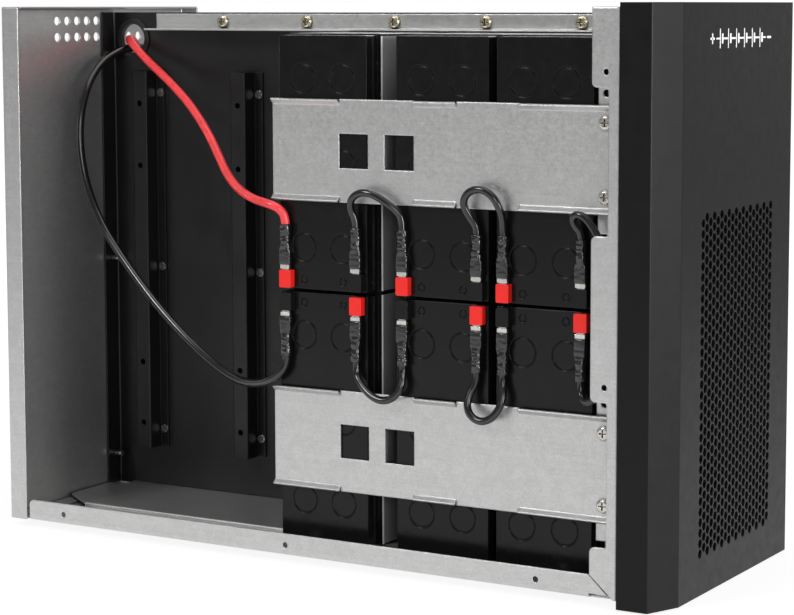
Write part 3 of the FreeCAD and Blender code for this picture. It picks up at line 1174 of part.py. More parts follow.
def build():
    fill_sheet()
    make_base_pan()
    make_rear_panel()
    make_front_panel()
    make_partition()
    for number_of_rib, start in enumerate(rib_starts(), start=1):
        make_rib(number_of_rib, start)
    make_top_rail()
    make_tray()
    for label, column, row in BATTERIES:
        make_battery(label, column, row)
    make_terminals()
    for row, level in zip(("upper", "lower"), STRAP_LEVELS):
        make_strap(row + "_strap", level)
        make_strap_bracket("strap_bracket_" + row, level)
    make_fasteners()
    make_bezel()
    make_feet()
    make_grommet()
    make_outlet()
    make_fuse()
    make_leads()
    doc.recompute()


def check():
    failed = [item.Name for item in doc.Objects if {"Invalid", "Error"} & set(item.State)]
    if failed:
        raise RuntimeError("failed: " + ", ".join(failed))
    for cut in CUTS:
        if cut.Shape.Volume > cut.BaseFeature.Shape.Volume - 0.1:
            raise RuntimeError(cut.Name + " cuts nothing")
    for item in SUBPARTS:
        if item.Shape.isNull() or not item.Shape.isValid() or not item.Shape.Solids:
            raise RuntimeError(item.Label + " has no sound shape")


def export():
    os.makedirs("parts", exist_ok=True)
    for item in SUBPARTS:
        item.Shape.exportStep("parts/%s.step" % item.Label)
    print(len(SUBPARTS), "pieces")


build()
check()
export()
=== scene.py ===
import json
import math

import bmesh
import bpy
from mathutils import Matrix, Vector, noise


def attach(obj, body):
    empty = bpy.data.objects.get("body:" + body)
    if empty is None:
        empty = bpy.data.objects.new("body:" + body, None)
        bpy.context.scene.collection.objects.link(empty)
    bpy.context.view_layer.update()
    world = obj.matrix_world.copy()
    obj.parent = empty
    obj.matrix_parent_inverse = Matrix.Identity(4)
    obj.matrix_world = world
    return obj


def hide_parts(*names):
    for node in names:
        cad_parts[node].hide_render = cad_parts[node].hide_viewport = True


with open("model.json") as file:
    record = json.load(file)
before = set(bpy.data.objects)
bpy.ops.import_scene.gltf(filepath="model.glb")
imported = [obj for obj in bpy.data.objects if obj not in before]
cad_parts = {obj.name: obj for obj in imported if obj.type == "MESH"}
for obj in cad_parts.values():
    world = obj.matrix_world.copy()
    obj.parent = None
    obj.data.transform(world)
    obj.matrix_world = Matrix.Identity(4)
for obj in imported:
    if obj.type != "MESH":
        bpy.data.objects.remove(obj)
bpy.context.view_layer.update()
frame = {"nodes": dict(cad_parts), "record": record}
nodes = frame["nodes"]
MM = 0.001

# Case coordinates: rear face X 0, near side Y 0, underside of the base Z 0, in millimetres
BEZEL_FRONT = 453.2
OUTLET_FLANGE = 2.5
CHASSIS_WIDTH = 190.0
FOOT_HEIGHT = 5.0
CASE_ORIGIN = Vector(((OUTLET_FLANGE - BEZEL_FRONT) / 2, -CHASSIS_WIDTH / 2, FOOT_HEIGHT))


def at(x, y, z):
    """A point in case millimetres, as a point of the scene."""
    return (Vector((x, y, z)) + CASE_ORIGIN) * MM


# Camera, fitted to the photograph
IMAGE_WIDTH = 794
FOCAL_PIXELS = 2322.2
SENSOR = 36.0
PRINCIPAL = (433.0, 247.1)
IMAGE_MIDDLE = (397.0, 307.5)
CAMERA_SPOT = (957.3, -1120.9, 322.4)
CAMERA_YAW = math.radians(29.995)
CAMERA_PITCH = math.radians(5.926)
CAMERA_ROLL = math.radians(-0.058)
CAMERA_REACH = 20


def make_camera():
    data = bpy.data.cameras.new("camera")
    data.sensor_width = SENSOR
    data.lens = FOCAL_PIXELS / IMAGE_WIDTH * SENSOR
    data.shift_x = (IMAGE_MIDDLE[0] - PRINCIPAL[0]) / IMAGE_WIDTH
    data.shift_y = (PRINCIPAL[1] - IMAGE_MIDDLE[1]) / IMAGE_WIDTH
    data.clip_end = CAMERA_REACH
    camera = bpy.data.objects.new("camera", data)
    bpy.context.scene.collection.objects.link(camera)
    level = math.cos(CAMERA_PITCH)
    ahead = Vector((-math.sin(CAMERA_YAW) * level, math.cos(CAMERA_YAW) * level, -math.sin(CAMERA_PITCH)))
    right = Vector((math.cos(CAMERA_YAW), math.sin(CAMERA_YAW), 0))
    up = right.cross(ahead)
    turn = Matrix((right, up, -ahead)).transposed().to_4x4() @ Matrix.Rotation(CAMERA_ROLL, 4, "Z")
    camera.matrix_world = Matrix.Translation(at(*CAMERA_SPOT)) @ turn
    bpy.context.scene.camera = camera


# Materials: height of the surface grain, and radius at which edges catch the light, in metres

GRAIN = 0.0002
FINE_GRAIN = 0.0001
SHEET_EDGE = 0.0012
MOULDED_EDGE = 0.0006
LID_EDGE = 0.0009
BEZEL_EDGE = 0.0008
PLATED_EDGE = 0.0002

# How far from an inner corner or recess the painted shade reaches, in metres, and the openness between shaded
# and unshaded
SHEET_CORNER = 0.0028
PLATED_RECESS = 0.0016
OPENNESS = (0.35, 0.85)

GALVANISED_METAL = 0.84
PAINT_GLOSS = 0.4
CABLE_GLOSS = 0.75


class Shader:
    """A node material under construction; each method adds one node and gives its output."""

    def __init__(self, name):
        self.material = bpy.data.materials.new(name)
        self.material.use_nodes = True
        self.tree = self.material.node_tree
        self.surface = self.tree.nodes["Principled BSDF"]
        self.place = self.add("ShaderNodeTexCoord").outputs["Object"]

    def add(self, kind, **settings):
        node = self.tree.nodes.new(kind)
        for key, setting in settings.items():
            setattr(node, key, setting)
        return node

    def link(self, output, node, socket):
        self.tree.links.new(output, node.inputs[socket])

    def stretched(self, scale):
        node = self.add("ShaderNodeMapping")
        node.inputs["Scale"].default_value = scale
        self.link(self.place, node, "Vector")
        return node.outputs["Vector"]

    def noise(self, scale, detail=3.0, rough=0.55, place=None):
        node = self.add("ShaderNodeTexNoise")
        node.inputs["Scale"].default_value = scale
        node.inputs["Detail"].default_value = detail
        node.inputs["Roughness"].default_value = rough
        self.link(place or self.place, node, "Vector")
        return node.outputs["Fac"]

    def cells(self, scale):
        node = self.add("ShaderNodeTexVoronoi")
        node.inputs["Scale"].default_value = scale
        self.link(self.place, node, "Vector")
        grey = self.add("ShaderNodeRGBToBW")
        self.link(node.outputs["Color"], grey, "Color")
        return grey.outputs["Val"]

    def hollows(self, reach):
        """Near 1 on open faces, near 0 in recesses and along inner corners."""
        node = self.add("ShaderNodeAmbientOcclusion", samples=8)
        node.inputs["Distance"].default_value = reach
        return node.outputs["AO"]

    def span(self, value, low, high, start=0.3, end=0.7):
        node = self.add("ShaderNodeMapRange")
        for socket, number in (("From Min", start), ("From Max", end), ("To Min", low), ("To Max", high)):
            node.inputs[socket].default_value = number
        self.link(value, node, "Value")
        return node.outputs["Result"]

    def times(self, first, second):
        node = self.add("ShaderNodeMath", operation="MULTIPLY")
        self.link(first, node, 0)
        self.link(second, node, 1)
        return node.outputs["Value"]

    def tint(self, colour, value):
        """A colour made darker or lighter by a value near 1."""
        node = self.add("ShaderNodeMix", data_type="RGBA", blend_type="MULTIPLY")
        node.inputs["Factor"].default_value = 1
        node.inputs["A"].default_value = (*colour, 1)
        self.link(value, node, "B")
        return node.outputs["Result"]

    def bump(self, value, strength, distance, edge=None):
        node = self.add("ShaderNodeBump")
        node.inputs["Strength"].default_value = strength
        node.inputs["Distance"].default_value = distance
        self.link(value, node, "Height")
        if edge:
            rounded = self.add("ShaderNodeBevel", samples=6)
            rounded.inputs["Radius"].default_value = edge
            self.link(rounded.outputs["Normal"], node, "Normal")
        self.link(node.outputs["Normal"], self.surface, "Normal")

    def set(self, **values):
        for socket, setting in values.items():
            self.surface.inputs[socket.replace("_", " ")].default_value = setting

    def colour(self, output):
        self.link(output, self.surface, "Base Color")

    def roughness(self, output):
        self.link(output, self.surface, "Roughness")


def galvanised(name, colour, rough):
    """Zinc-coated sheet: soft spangle, fine speckle and faint rolling lines, with painted shade along inner
    corners.
    """
    shader = Shader(name)
    spangle = shader.span(shader.cells(240), 0.955, 1.045, 0, 1)
    speckle = shader.span(shader.noise(1500, 2), 0.90, 1.08)
    lines = shader.span(shader.noise(60, 3, 0.6, shader.stretched((0.25, 1, 14))), 0.96, 1.03)
    # painted shade: the sheet's colour darkens along inner corners, under lips and round screw heads
    corners = shader.span(shader.hollows(SHEET_CORNER), 0.3, 1.0, *OPENNESS)
    shade = shader.times(shader.times(shader.times(spangle, speckle), lines), corners)
    shader.colour(shader.tint(colour, shade))
    shader.roughness(shader.span(shader.noise(420, 3), rough - 0.06, rough + 0.07))
    shader.set(Metallic=GALVANISED_METAL)
    shader.bump(shader.noise(1100, 3), 0.10, GRAIN, SHEET_EDGE)
    return shader.material


def black_paint(name, colour, rough):
    """Satin black paint with a slight orange peel and some dust."""
    shader = Shader(name)
    dust = shader.span(shader.noise(28, 6, 0.7), 0.8, 1.5)
    shader.colour(shader.tint(colour, dust))
    shader.roughness(shader.span(shader.noise(90, 4), rough - 0.05, rough + 0.07))
    shader.set(Specular_IOR_Level=PAINT_GLOSS)
    shader.bump(shader.noise(900, 2), 0.08, GRAIN, MOULDED_EDGE)
    return shader.material


def moulded(name, colour, rough, grain, depth, variation=0.12, edge=MOULDED_EDGE, gloss=0.5):
    """Moulded plastic: fine grain, slightly uneven gloss and tone."""
    shader = Shader(name)
    tone = shader.span(shader.noise(35, 5, 0.65), 1 - variation, 1 + variation)
    shader.colour(shader.tint(colour, tone))
    shader.roughness(shader.span(shader.noise(140, 3), rough - 0.04, rough + 0.06))
    shader.set(Specular_IOR_Level=gloss)
    shader.bump(shader.noise(grain, 2), depth, GRAIN, edge)
    return shader.material


def plated(name, colour, rough, dark=0.25):
    """Plated metal with a thin stain, and painted shade in its recesses and round its edge."""
    shader = Shader(name)
    stain = shader.span(shader.noise(300, 4, 0.6), 0.82, 1.08)
    # painted shade: the colour darkens in recesses and round the edge of screw heads, down to the share given
    # as dark
    recess_shade = shader.span(shader.hollows(PLATED_RECESS), dark, 1.0, *OPENNESS)
    shader.colour(shader.tint(colour, shader.times(stain, recess_shade)))
    shader.roughness(shader.span(shader.noise(700, 3), rough - 0.06, rough + 0.08))
    shader.set(Metallic=1.0)
    shader.bump(shader.noise(1800, 2), 0.08, FINE_GRAIN, PLATED_EDGE)
    return shader.material


def insulation(name, colour, rough):
    """Soft cable insulation with faint rubbing marks."""
    shader = Shader(name)
    marks = shader.span(shader.noise(120, 5, 0.65), 0.86, 1.12)
    shader.colour(shader.tint(colour, marks))
    shader.roughness(shader.span(shader.noise(260, 3), rough - 0.05, rough + 0.07))
    shader.set(Specular_IOR_Level=CABLE_GLOSS)
    shader.bump(shader.noise(650, 2), 0.06, GRAIN)
    return shader.material


MATERIALS = {
    "galvanised_sheet": galvanised("galvanised_sheet", (0.60, 0.60, 0.596), 0.36),
    "black_sheet": black_paint("black_sheet", (0.006, 0.006, 0.0065), 0.34),
    "battery_plastic": moulded("battery_plastic", (0.0065, 0.0065, 0.0069), 0.22, 1400, 0.07,
                               edge=LID_EDGE, gloss=0.24),
    "red_plastic": moulded("red_plastic", (0.95, 0.018, 0.012), 0.38, 900, 0.05, variation=0.06),
    "black_terminal_plastic": moulded("black_terminal_plastic", (0.007, 0.007, 0.007), 0.3, 900, 0.06,
                                      gloss=0.24),
    "tin_plate": plated("tin_plate", (0.80, 0.78, 0.73), 0.22, dark=0.5),
    "black_sleeve": moulded("black_sleeve", (0.005, 0.005, 0.0054), 0.18, 1300, 0.15,
                            variation=0.3, edge=None, gloss=0.9),
    "yellow_zinc": plated("yellow_zinc", (0.66, 0.60, 0.44), 0.24),
    "zinc_plate": plated("zinc_plate", (0.66, 0.63, 0.58), 0.24),
    "bezel_plastic": moulded("bezel_plastic", (0.0055, 0.0055, 0.006), 0.37, 2400, 0.10,
                             variation=0.08, edge=BEZEL_EDGE, gloss=0.2),
    "black_rubber": moulded("black_rubber", (0.010, 0.010, 0.010), 0.42, 700, 0.12),
    "outlet_plastic": moulded("outlet_plastic", (0.022, 0.022, 0.024), 0.45, 1200, 0.15),
    "fuse_body": moulded("fuse_body", (0.78, 0.76, 0.70), 0.35, 900, 0.05, variation=0.05),
    "red_insulation": insulation("red_insulation", (0.95, 0.050, 0.056), 0.30),
    "black_insulation": insulation("black_insulation", (0.005, 0.005, 0.0054), 0.17),
}
GREY_FILM = moulded("grey_film", (0.30, 0.30, 0.304), 0.42, 900, 0.05, variation=0.06, edge=None)
# painted highlight: pale colour of the raised film edge, standing in for light caught by the battery case's
# edge
EDGE_HIGHLIGHT_PAINT = moulded("painted_edge_highlight", (0.82, 0.82, 0.81), 0.4, 900, 0.05, variation=0.05, edge=None)
WHITE_PRINT = moulded("white_print", (0.80, 0.80, 0.79), 0.5, 1600, 0.08, variation=0.05, edge=None)


def dress_frame():
    for row in frame["record"]["subparts"]:
        piece = nodes[row["node"]]
        piece.data.materials.clear()
        piece.data.materials.append(MATERIALS[row["material_slot"]])


def new_piece(name, shape, material):
    """Turn a finished bmesh into a piece that rides with the case."""
    mesh = bpy.data.meshes.new(name)
    shape.to_mesh(mesh)
    shape.free()
    mesh.materials.append(material)
    piece = bpy.data.objects.new(name, mesh)
    bpy.context.scene.collection.objects.link(piece)
    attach(piece, "root")
    return piece


def add_block(shape, middle, size):
    """A plain block, by its middle and its sizes along X, Y and Z in case millimetres."""
    scale = Matrix.Diagonal((*(side * MM for side in size), 1))
    bmesh.ops.create_cube(shape, size=1, matrix=Matrix.Translation(at(*middle)) @ scale)


# Leads: the listed points of each route, in case millimetres, as control points of one smooth line

LEAD = 5.2
JUMPER = 4.4
LEAD_STEPS = 8
LEAD_SIDES = 6
ROUTES = {
    "pack_lead_positive": ("red_insulation", LEAD, [
        (201.8, 14.1, 195.1), (201.8, 14.1, 199.4), (199.0, 11.6, 204.4), (192.1, 10.6, 206.8),
        (178.1, 15.5, 208.6), (159.6, 27.0, 212.8), (142.6, 39.0, 221.0), (128.6, 50.0, 232.0),
        (115.6, 59.0, 243.0), (101.6, 67.0, 254.0), (84.6, 76.0, 265.0), (63.6, 85.0, 277.0),
        (43.6, 93.0, 287.0), (29.5, 98.8, 295.6), (20.4, 104.0, 300.2), (15.6, 110.8, 301.6),
        (14.2, 117.8, 299.6), (13.8, 123.0, 293.0), (14.8, 125.6, 284.6), (19.0, 126.4, 277.0),
        (26.4, 126.6, 272.6), (31.65, 126.5, 267.0), (31.65, 126.5, 260.0)]),
    "pack_lead_negative": ("black_insulation", LEAD, [
        (201.8, 14.1, 116.5), (201.8, 14.1, 112.0), (198.6, 12.0, 106.0), (191.1, 12.6, 101.0),
        (179.1, 17.0, 97.6), (164.6, 23.0, 96.5), (149.6, 29.0, 99.0), (133.6, 34.0, 105.0),
        (115.6, 38.5, 114.5), (97.6, 42.5, 126.0), (80.1, 46.0, 139.0), (64.1, 49.0, 153.0),
        (48.6, 51.5, 168.0), (34.6, 53.5, 184.0), (24.1, 54.5, 203.0), (18.1, 55.5, 222.0),
        (15.6, 56.5, 239.0), (15.1, 59.0, 255.0), (14.8, 65.0, 269.0), (14.0, 74.5, 280.0),
        (13.2, 85.0, 287.0), (13.4, 95.5, 291.4), (15.6, 105.0, 294.5), (19.6, 114.0, 295.9),
        (22.2, 124.0, 294.0), (23.0, 134.5, 289.0), (25.0, 144.5, 281.5), (29.5, 152.5, 271.0),
        (34.6, 157.5, 258.0), (40.6, 161.5, 240.0), (44.1, 162.0, 218.0), (46.1, 160.0, 197.0),
        (49.1, 157.5, 177.0), (51.1, 158.0, 161.0), (45.5, 160.5, 148.5), (37.5, 161.35, 142.0),
        (30.0, 161.35, 142.0)]),
    "fuse_lead": ("red_insulation", LEAD, [
        (31.65, 126.5, 190.0), (31.65, 126.5, 183.0), (35.5, 128.5, 174.0), (42.0, 132.0, 166.5),
        (48.0, 136.5, 158.0), (48.5, 140.3, 148.5), (40.5, 141.35, 142.0), (30.0, 141.35, 142.0)]),
    "jumper_a_b_upper": ("black_insulation", JUMPER, [
        (250.4, 14.1, 195.1), (250.4, 14.1, 199.4), (248.4, 11.6, 205.6), (250.2, 9.4, 212.2),
        (257.1, 8.6, 216.4), (265.8, 8.8, 215.4), (274.2, 10.4, 210.2), (280.2, 13.0, 205.0),
        (281.8, 14.1, 199.8), (281.8, 14.1, 195.1)]),
    "jumper_b_c_upper": ("black_insulation", JUMPER, [
        (330.4, 14.1, 195.1), (330.4, 14.1, 199.4), (326.4, 11.6, 205.4), (324.0, 9.2, 212.6),
        (327.8, 8.2, 219.2), (335.9, 7.8, 221.6), (343.6, 8.2, 217.8), (347.0, 9.6, 211.4),
        (347.6, 12.4, 205.2), (347.1, 14.1, 199.6), (347.1, 14.1, 195.1)]),
    "jumper_c_c": ("black_insulation", JUMPER, [
        (395.7, 14.1, 195.1), (395.7, 14.1, 198.8), (392.8, 12.0, 202.6), (392.2, 9.6, 207.2),
        (396.2, 8.4, 210.0), (401.4, 8.1, 207.6), (405.6, 7.8, 203.0), (409.4, 7.5, 197.2),
        (412.2, 7.4, 189.0), (413.8, 7.3, 180.0), (414.6, 7.2, 165.0), (414.6, 7.2, 147.0),
        (413.8, 7.3, 131.0), (412.0, 7.6, 119.0), (408.8, 8.0, 110.4), (403.8, 9.0, 106.4),
        (398.4, 11.4, 106.6), (395.7, 14.1, 111.2), (395.7, 14.1, 116.5)]),
    "jumper_b_c_lower": ("black_insulation", JUMPER, [
        (347.1, 14.1, 116.5), (347.1, 14.1, 111.8), (348.8, 11.8, 105.0), (347.4, 9.4, 97.4),
        (342.6, 8.4, 91.6), (335.8, 8.0, 89.6), (329.0, 8.4, 92.8), (326.4, 9.6, 99.6),
        (328.0, 12.2, 106.0), (330.4, 14.1, 111.6), (330.4, 14.1, 116.5)]),
    "jumper_a_b_lower": ("black_insulation", JUMPER, [
        (281.8, 14.1, 116.5), (281.8, 14.1, 111.8), (282.6, 11.6, 105.0), (278.8, 9.4, 98.4),
        (271.8, 8.6, 95.8), (264.0, 8.8, 98.0), (257.4, 10.4, 102.6), (252.0, 13.0, 107.2),
        (250.4, 14.1, 111.8), (250.4, 14.1, 116.5)]),
}


def line_length(curve):
    """Length of a curve's own smooth line, read before it is given a thickness."""
    mesh = bpy.data.meshes.new_from_object(curve.evaluated_get(bpy.context.evaluated_depsgraph_get()))
    spots = [vertex.co.copy() for vertex in mesh.vertices]
    bpy.data.meshes.remove(mesh)
    return sum((b - a).length for a, b in zip(spots, spots[1:]))


def make_lead(node, slot, diameter, points):
    data = bpy.data.curves.new(node + "_cord", "CURVE")
    data.dimensions = "3D"
    data.resolution_u = LEAD_STEPS
    spline = data.splines.new("NURBS")
    spline.points.add(len(points) - 1)
    for point, spot in zip(spline.points, points):
        point.co = (*at(*spot), 1)
    spline.order_u = 3
    spline.use_endpoint_u = True
    cord = bpy.data.objects.new(node + "_cord", data)
    bpy.context.scene.collection.objects.link(cord)
    length = line_length(cord)
    data.bevel_depth = diameter * MM / 2
    data.bevel_resolution = LEAD_SIDES
    data.use_fill_caps = True
    data.materials.append(MATERIALS[slot])
    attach(cord, "root")
    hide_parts(node)


# Sleeves: heat-shrunk tubes over the push-on receptacles, flat over the metal and round on the lead.
# A row is the height at which its sleeves start and their way, up or down.
# A section is its distance along the sleeve, half its width and half its thickness.

SLEEVE_COLUMNS = (201.8, 250.4, 281.8, 330.4, 347.1, 395.7)
SLEEVE_AXIS_Y = 14.1
SLEEVE_ROWS = ((171.1, 1), (140.5, -1))
SLEEVE_PROFILE = ((0.0, 3.55, 2.00), (0.5, 3.80, 2.25), (3.0, 3.85, 2.35), (8.8, 3.85, 2.40),
                  (9.8, 3.55, 2.45), (10.8, 3.35, 2.65), (13.0, 3.10, 2.85), (14.2, 3.35, 2.95),
                  (15.0, 3.10, 2.80), (17.0, 3.00, 2.80), (18.0, 3.25, 2.95), (19.0, 3.05, 2.85),
                  (20.0, 3.35, 3.10), (23.2, 3.35, 3.10), (24.0, 3.05, 2.90))
SLEEVE_MOUTH = ((0.0, 3.36, 1.5), (8.2, 3.36, 1.5))
SLEEVE_SIDES = 28
SLEEVE_STEPS = 40
SQUARENESS = 2.6

# Creases: depth as a share of the section, closeness across and along, and shifts that make each sleeve differ
BROAD_DEPTH, BROAD_ACROSS, BROAD_ALONG = 0.13, 0.9, 0.55
FINE_DEPTH, FINE_ACROSS, FINE_ALONG = 0.10, 1.1, 1.3
COLUMN_SHIFT = 0.37
ROW_SHIFT = 7.0
FLAT_CREASE = 0.35
FLAT_RISE = 1.5
FLAT_END = 9.0
ROUND_RISE = 2.0


def profile_at(table, along):
    """Half width and half thickness at a distance along a table of sections."""
    for (start, wide_a, thick_a), (end, wide_b, thick_b) in zip(table, table[1:]):
        if along <= end:
            share = (along - start) / (end - start)
            return wide_a + (wide_b - wide_a) * share, thick_a + (thick_b - thick_a) * share
    return table[-1][1:]


def sleeve_ring(shape, x, z, way, along, wide, thick, wrinkle):
    """One section: a rounded oblong where flat, a circle where round, creased by noise."""
    power = 2.0 / (2.0 + SQUARENESS * max(0.0, wide / thick - 1.0))
    ring = []
    for k in range(SLEEVE_SIDES):
        angle = k * math.tau / SLEEVE_SIDES
        across = math.copysign(abs(math.cos(angle)) ** power, math.cos(angle))
        out = math.copysign(abs(math.sin(angle)) ** power, math.sin(angle))
        broad = Vector((x * COLUMN_SHIFT + across * BROAD_ACROSS, out * BROAD_ACROSS + way * ROW_SHIFT,
                        along * BROAD_ALONG))
        fine = Vector((x + across * FINE_ACROSS, out * FINE_ACROSS, along * FINE_ALONG))
        crease = 1 + wrinkle * (BROAD_DEPTH * noise.noise(broad) + FINE_DEPTH * noise.noise(fine))
        spot = at(x + across * wide * crease, SLEEVE_AXIS_Y + out * thick * crease, z + way * along)
        ring.append(shape.verts.new(spot))
    return ring


def wrinkle_at(along):
    """How creased a sleeve is: little over the flat metal, most where it shrank round the lead."""
    flat = min(1.0, along / FLAT_RISE)
    round_part = min(1.0, max(0.0, (along - FLAT_END) / ROUND_RISE))
    return FLAT_CREASE * flat + (1 - FLAT_CREASE) * round_part


def join_rings(shape, first, second):
    for k in range(SLEEVE_SIDES):
        after = (k + 1) % SLEEVE_SIDES
        face = shape.faces.new((first[k], first[after], second[after], second[k]))
        face.smooth = True


def make_sleeves():
    shape = bmesh.new()
    length = SLEEVE_PROFILE[-1][0]
    for x in SLEEVE_COLUMNS:
        for z, way in SLEEVE_ROWS:
            mouth = [sleeve_ring(shape, x, z, way, *section, 0) for section in SLEEVE_MOUTH]
            rings = [mouth[1], mouth[0]]
            for step in range(SLEEVE_STEPS + 1):
                along = length * step / SLEEVE_STEPS
                wide, thick = profile_at(SLEEVE_PROFILE, along)
                rings.append(sleeve_ring(shape, x, z, way, along, wide, thick, wrinkle_at(along)))
            for first, second in zip(rings, rings[1:]):
                join_rings(shape, first, second)
            shape.faces.new(mouth[1])
            shape.faces.new(rings[-1])
    bmesh.ops.recalc_face_normals(shape, faces=shape.faces)
    piece = new_piece("shrink_sleeves", shape, MATERIALS["black_sleeve"])
    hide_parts("terminal_sleeves")


# Grey film on broad sides of the batteries, behind the lid's seam, with a raised front edge whose pale colour
# is a painted highlight along the case's edge

FILM_COLUMNS = (258.6, 403.9)
FILM_ROWS = ((6.4, 154.6), (157.0, 305.2))
FILM_NEAR = 30.4
FILM_FAR = 108.0
FILM = 0.12
FILM_EDGE = 0.8


def make_film(name, near, far, thick, material):
    shape = bmesh.new()
    for x in FILM_COLUMNS:
        for low, high in FILM_ROWS:
            middle = (x + thick / 2, (near + far) / 2, (low + high) / 2)
            add_block(shape, middle, (thick, far - near, high - low))
    new_piece(name, shape, material)


# Mark on the bezel: a plain circuit sign for cells in series, printed in white

MARK_MIDDLE = (99.0, 304.5)
MARK_CELLS = 6
MARK_PITCH = 11.5
MARK_FILM = 0.12
MARK_LINE = 1.0
MARK_ROUNDING = 0.3
LONG_PLATE = (1.0, 11.0)
SHORT_PLATE = (2.0, 5.6)
PLATE_OFFSET = 1.6
LINK_CUT = 5.2
END_LENGTH = 5.2
END_INSET = 1.2
SIGN_OFFSET = 6.5
SIGN_LENGTH = 6.0
SIGN_LINE = 1.3


def mark_strokes():
    """Rectangles of the sign as middle Y, middle Z, width and height."""
    y, z = MARK_MIDDLE
    strokes = []
    start = y - MARK_PITCH * (MARK_CELLS - 1) / 2
    for i in range(MARK_CELLS):
        middle = start + i * MARK_PITCH
        strokes.append((middle - PLATE_OFFSET, z, *LONG_PLATE))
        strokes.append((middle + PLATE_OFFSET, z, *SHORT_PLATE))
        if i:
            strokes.append((middle - MARK_PITCH / 2, z, MARK_PITCH - LINK_CUT, MARK_LINE))
    half = MARK_PITCH * MARK_CELLS / 2
    strokes.append((y - half + END_INSET, z, END_LENGTH, MARK_LINE))
    strokes.append((y + half - END_INSET, z, END_LENGTH, MARK_LINE))
    strokes.append((y - half - SIGN_OFFSET, z, SIGN_LENGTH, SIGN_LINE))
    strokes.append((y - half - SIGN_OFFSET, z, SIGN_LINE, SIGN_LENGTH))
    strokes.append((y + half + SIGN_OFFSET, z, SIGN_LENGTH, SIGN_LINE))
    return strokes


def make_mark():
    shape = bmesh.new()
    for y, z, wide, tall in mark_strokes():
        add_block(shape, (BEZEL_FRONT + MARK_FILM / 2, y, z), (MARK_FILM, wide, tall))
    corners = [edge for edge in shape.edges
               if abs(edge.verts[0].co.x - edge.verts[1].co.x) > MARK_FILM * MM / 2]
    bmesh.ops.bevel(shape, geom=corners, offset=MARK_ROUNDING * MM, segments=3, affect="EDGES",
                    clamp_overlap=True)
    new_piece("bezel_mark", shape, WHITE_PRINT)


# Stage, in metres: what metal mirrors of the floor's glow fades from near to far of the floor's middle

FLOOR_HALF = 6
FLOOR_COLOUR = (0.8, 0.8, 0.8, 1)
FLOOR_SHADOW = (0.22, 0.22, 0.22, 1)
FLOOR_GLOW = 0.83
FLOOR_MIDDLE = (-0.15, -0.35, 0.0)
FLOOR_NEAR = 0.1
FLOOR_FAR = 2.2
FLOOR_DIM = 0.24
BACKDROP_WAY = (-0.55, 0.83, 0.05)
BACKDROP_EDGE = (0.35, 0.9)
WHITE = 1.0
ROOM = 0.25


def fade(tree, value, start, end, low, high):
    """A value mapped smoothly from start..end to low..high."""
    node = tree.nodes.new("ShaderNodeMapRange")
    node.interpolation_type = "SMOOTHSTEP"
    for socket, number in (("From Min", start), ("From Max", end), ("To Min", low), ("To Max", high)):
        node.inputs[socket].default_value = number
    tree.links.new(value, node.inputs["Value"])
    return node.outputs["Result"]


def combined(tree, operation, first, second):
    node = tree.nodes.new("ShaderNodeMath")
    node.operation = operation
    tree.links.new(first, node.inputs[0])
    tree.links.new(second, node.inputs[1])
    return node.outputs["Value"]


def larger(tree, first, second):
    return combined(tree, "MAXIMUM", first, second)


def times(tree, first, second):
    return combined(tree, "MULTIPLY", first, second)


def make_stage():
    """A pale floor: it glows where it is seen, straight on or mirrored, and keeps a faint shadow there."""
    mesh = bpy.data.meshes.new("floor")
    shape = bmesh.new()
    bmesh.ops.create_grid(shape, x_segments=1, y_segments=1, size=FLOOR_HALF)
    shape.to_mesh(mesh)
    shape.free()
    floor = bpy.data.objects.new("floor", mesh)
    bpy.context.scene.collection.objects.link(floor)
    material = bpy.data.materials.new("floor")
    material.use_nodes = True
    tree = material.node_tree
    tree.nodes.clear()
    output = tree.nodes.new("ShaderNodeOutputMaterial")
    plain = tree.nodes.new("ShaderNodeBsdfDiffuse")
    plain.inputs["Color"].default_value = FLOOR_COLOUR
    faint = tree.nodes.new("ShaderNodeBsdfDiffuse")
    faint.inputs["Color"].default_value = FLOOR_SHADOW
    glow = tree.nodes.new("ShaderNodeEmission")
    both = tree.nodes.new("ShaderNodeAddShader")
    mix = tree.nodes.new("ShaderNodeMixShader")
    path = tree.nodes.new("ShaderNodeLightPath")
    mirrored = larger(tree, path.outputs["Is Glossy Ray"], path.outputs["Is Transmission Ray"])
    seen = larger(tree, path.outputs["Is Camera Ray"], mirrored)
    away = tree.nodes.new("ShaderNodeVectorMath")
    away.operation = "DISTANCE"
    away.inputs[1].default_value = FLOOR_MIDDLE
    tree.links.new(tree.nodes.new("ShaderNodeNewGeometry").outputs["Position"], away.inputs[0])
    pool = fade(tree, away.outputs["Value"], FLOOR_NEAR, FLOOR_FAR, FLOOR_GLOW, FLOOR_DIM)
    white = fade(tree, away.outputs["Value"], FLOOR_NEAR, FLOOR_FAR, FLOOR_GLOW, WHITE)
    straight = times(tree, path.outputs["Is Camera Ray"], white)
    tree.links.new(larger(tree, straight, pool), glow.inputs["Strength"])
    tree.links.new(faint.outputs[0], both.inputs[0])
    tree.links.new(glow.outputs[0], both.inputs[1])
    tree.links.new(seen, mix.inputs[0])
    tree.links.new(plain.outputs[0], mix.inputs[1])
    tree.links.new(both.outputs[0], mix.inputs[2])
    tree.links.new(mix.outputs[0], output.inputs["Surface"])
    mesh.materials.append(material)


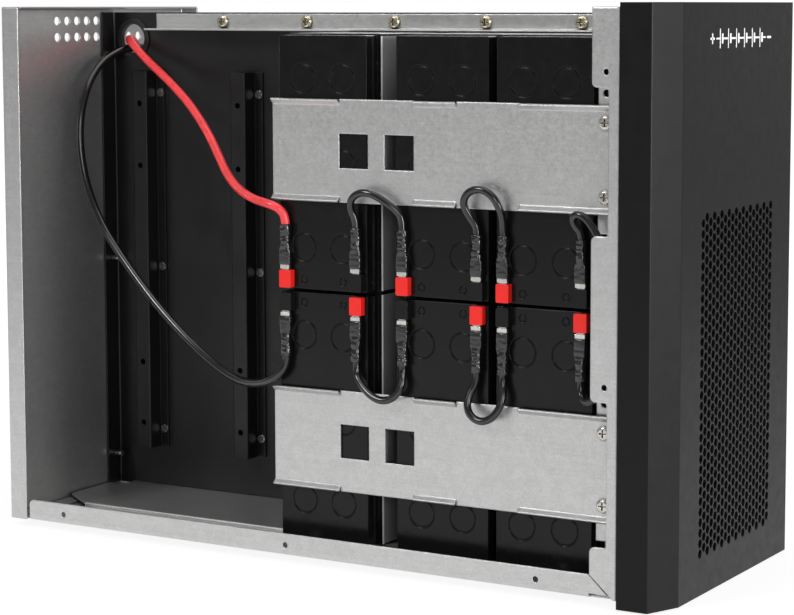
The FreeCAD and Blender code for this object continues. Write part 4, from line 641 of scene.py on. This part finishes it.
def make_world():
    """White where the camera looks; metal mirrors a white backdrop behind the part in a dimmer room."""
    world = bpy.data.worlds.new("studio")
    world.use_nodes = True
    bpy.context.scene.world = world
    tree = world.node_tree
    surface = tree.nodes["Background"]
    surface.inputs["Color"].default_value = (1, 1, 1, 1)
    place = tree.nodes.new("ShaderNodeTexCoord")
    toward = tree.nodes.new("ShaderNodeVectorMath")
    toward.operation = "DOT_PRODUCT"
    toward.inputs[1].default_value = BACKDROP_WAY
    tree.links.new(place.outputs["Generated"], toward.inputs[0])
    backdrop = fade(tree, toward.outputs["Value"], *BACKDROP_EDGE, 0.0, 1.0)
    path = tree.nodes.new("ShaderNodeLightPath")
    mirrored = larger(tree, path.outputs["Is Glossy Ray"], path.outputs["Is Transmission Ray"])
    shown = larger(tree, path.outputs["Is Camera Ray"], times(tree, mirrored, backdrop))
    tree.links.new(fade(tree, shown, 0.0, 1.0, ROOM, WHITE), surface.inputs["Strength"])


# Name, place, size in metres and power of each soft lamp; all point at the middle of the part
LAMPS = [
    ("key", (-0.9, -1.9, 1.7), 0.7, 22.5),
    ("fill", (1.45, -1.9, 0.75), 0.8, 9.0),
    ("side", (2.2, -0.2, 0.38), 0.8, 38.0),
    ("top", (0.4, 0.1, 2.0), 1.9, 16.0),
    ("back", (-0.9, 1.8, 1.2), 1.0, 8.0),
]
LAMP_TARGET = Vector((0.0, 0.0, 0.16))


def make_lamps():
    for name, spot, size, power in LAMPS:
        data = bpy.data.lights.new(name, "AREA")
        data.size = size
        data.energy = power
        lamp = bpy.data.objects.new(name, data)
        bpy.context.scene.collection.objects.link(lamp)
        aim = (LAMP_TARGET - Vector(spot)).to_track_quat("-Z", "Y")
        lamp.matrix_world = Matrix.Translation(Vector(spot)) @ aim.to_matrix().to_4x4()


make_camera()
dress_frame()
for lead_node, (lead_slot, thickness, route) in ROUTES.items():
    make_lead(lead_node, lead_slot, thickness, route)
make_sleeves()
make_film("battery_film", FILM_NEAR, FILM_FAR, FILM, GREY_FILM)
# the raised front edge of the film is pale as a painted highlight
make_film("battery_film_highlight_edge", FILM_NEAR - FILM_EDGE, FILM_NEAR, FILM_EDGE, EDGE_HIGHLIGHT_PAINT)
make_mark()
make_stage()
make_world()
make_lamps()
bpy.context.scene.view_settings.view_transform = "Standard"
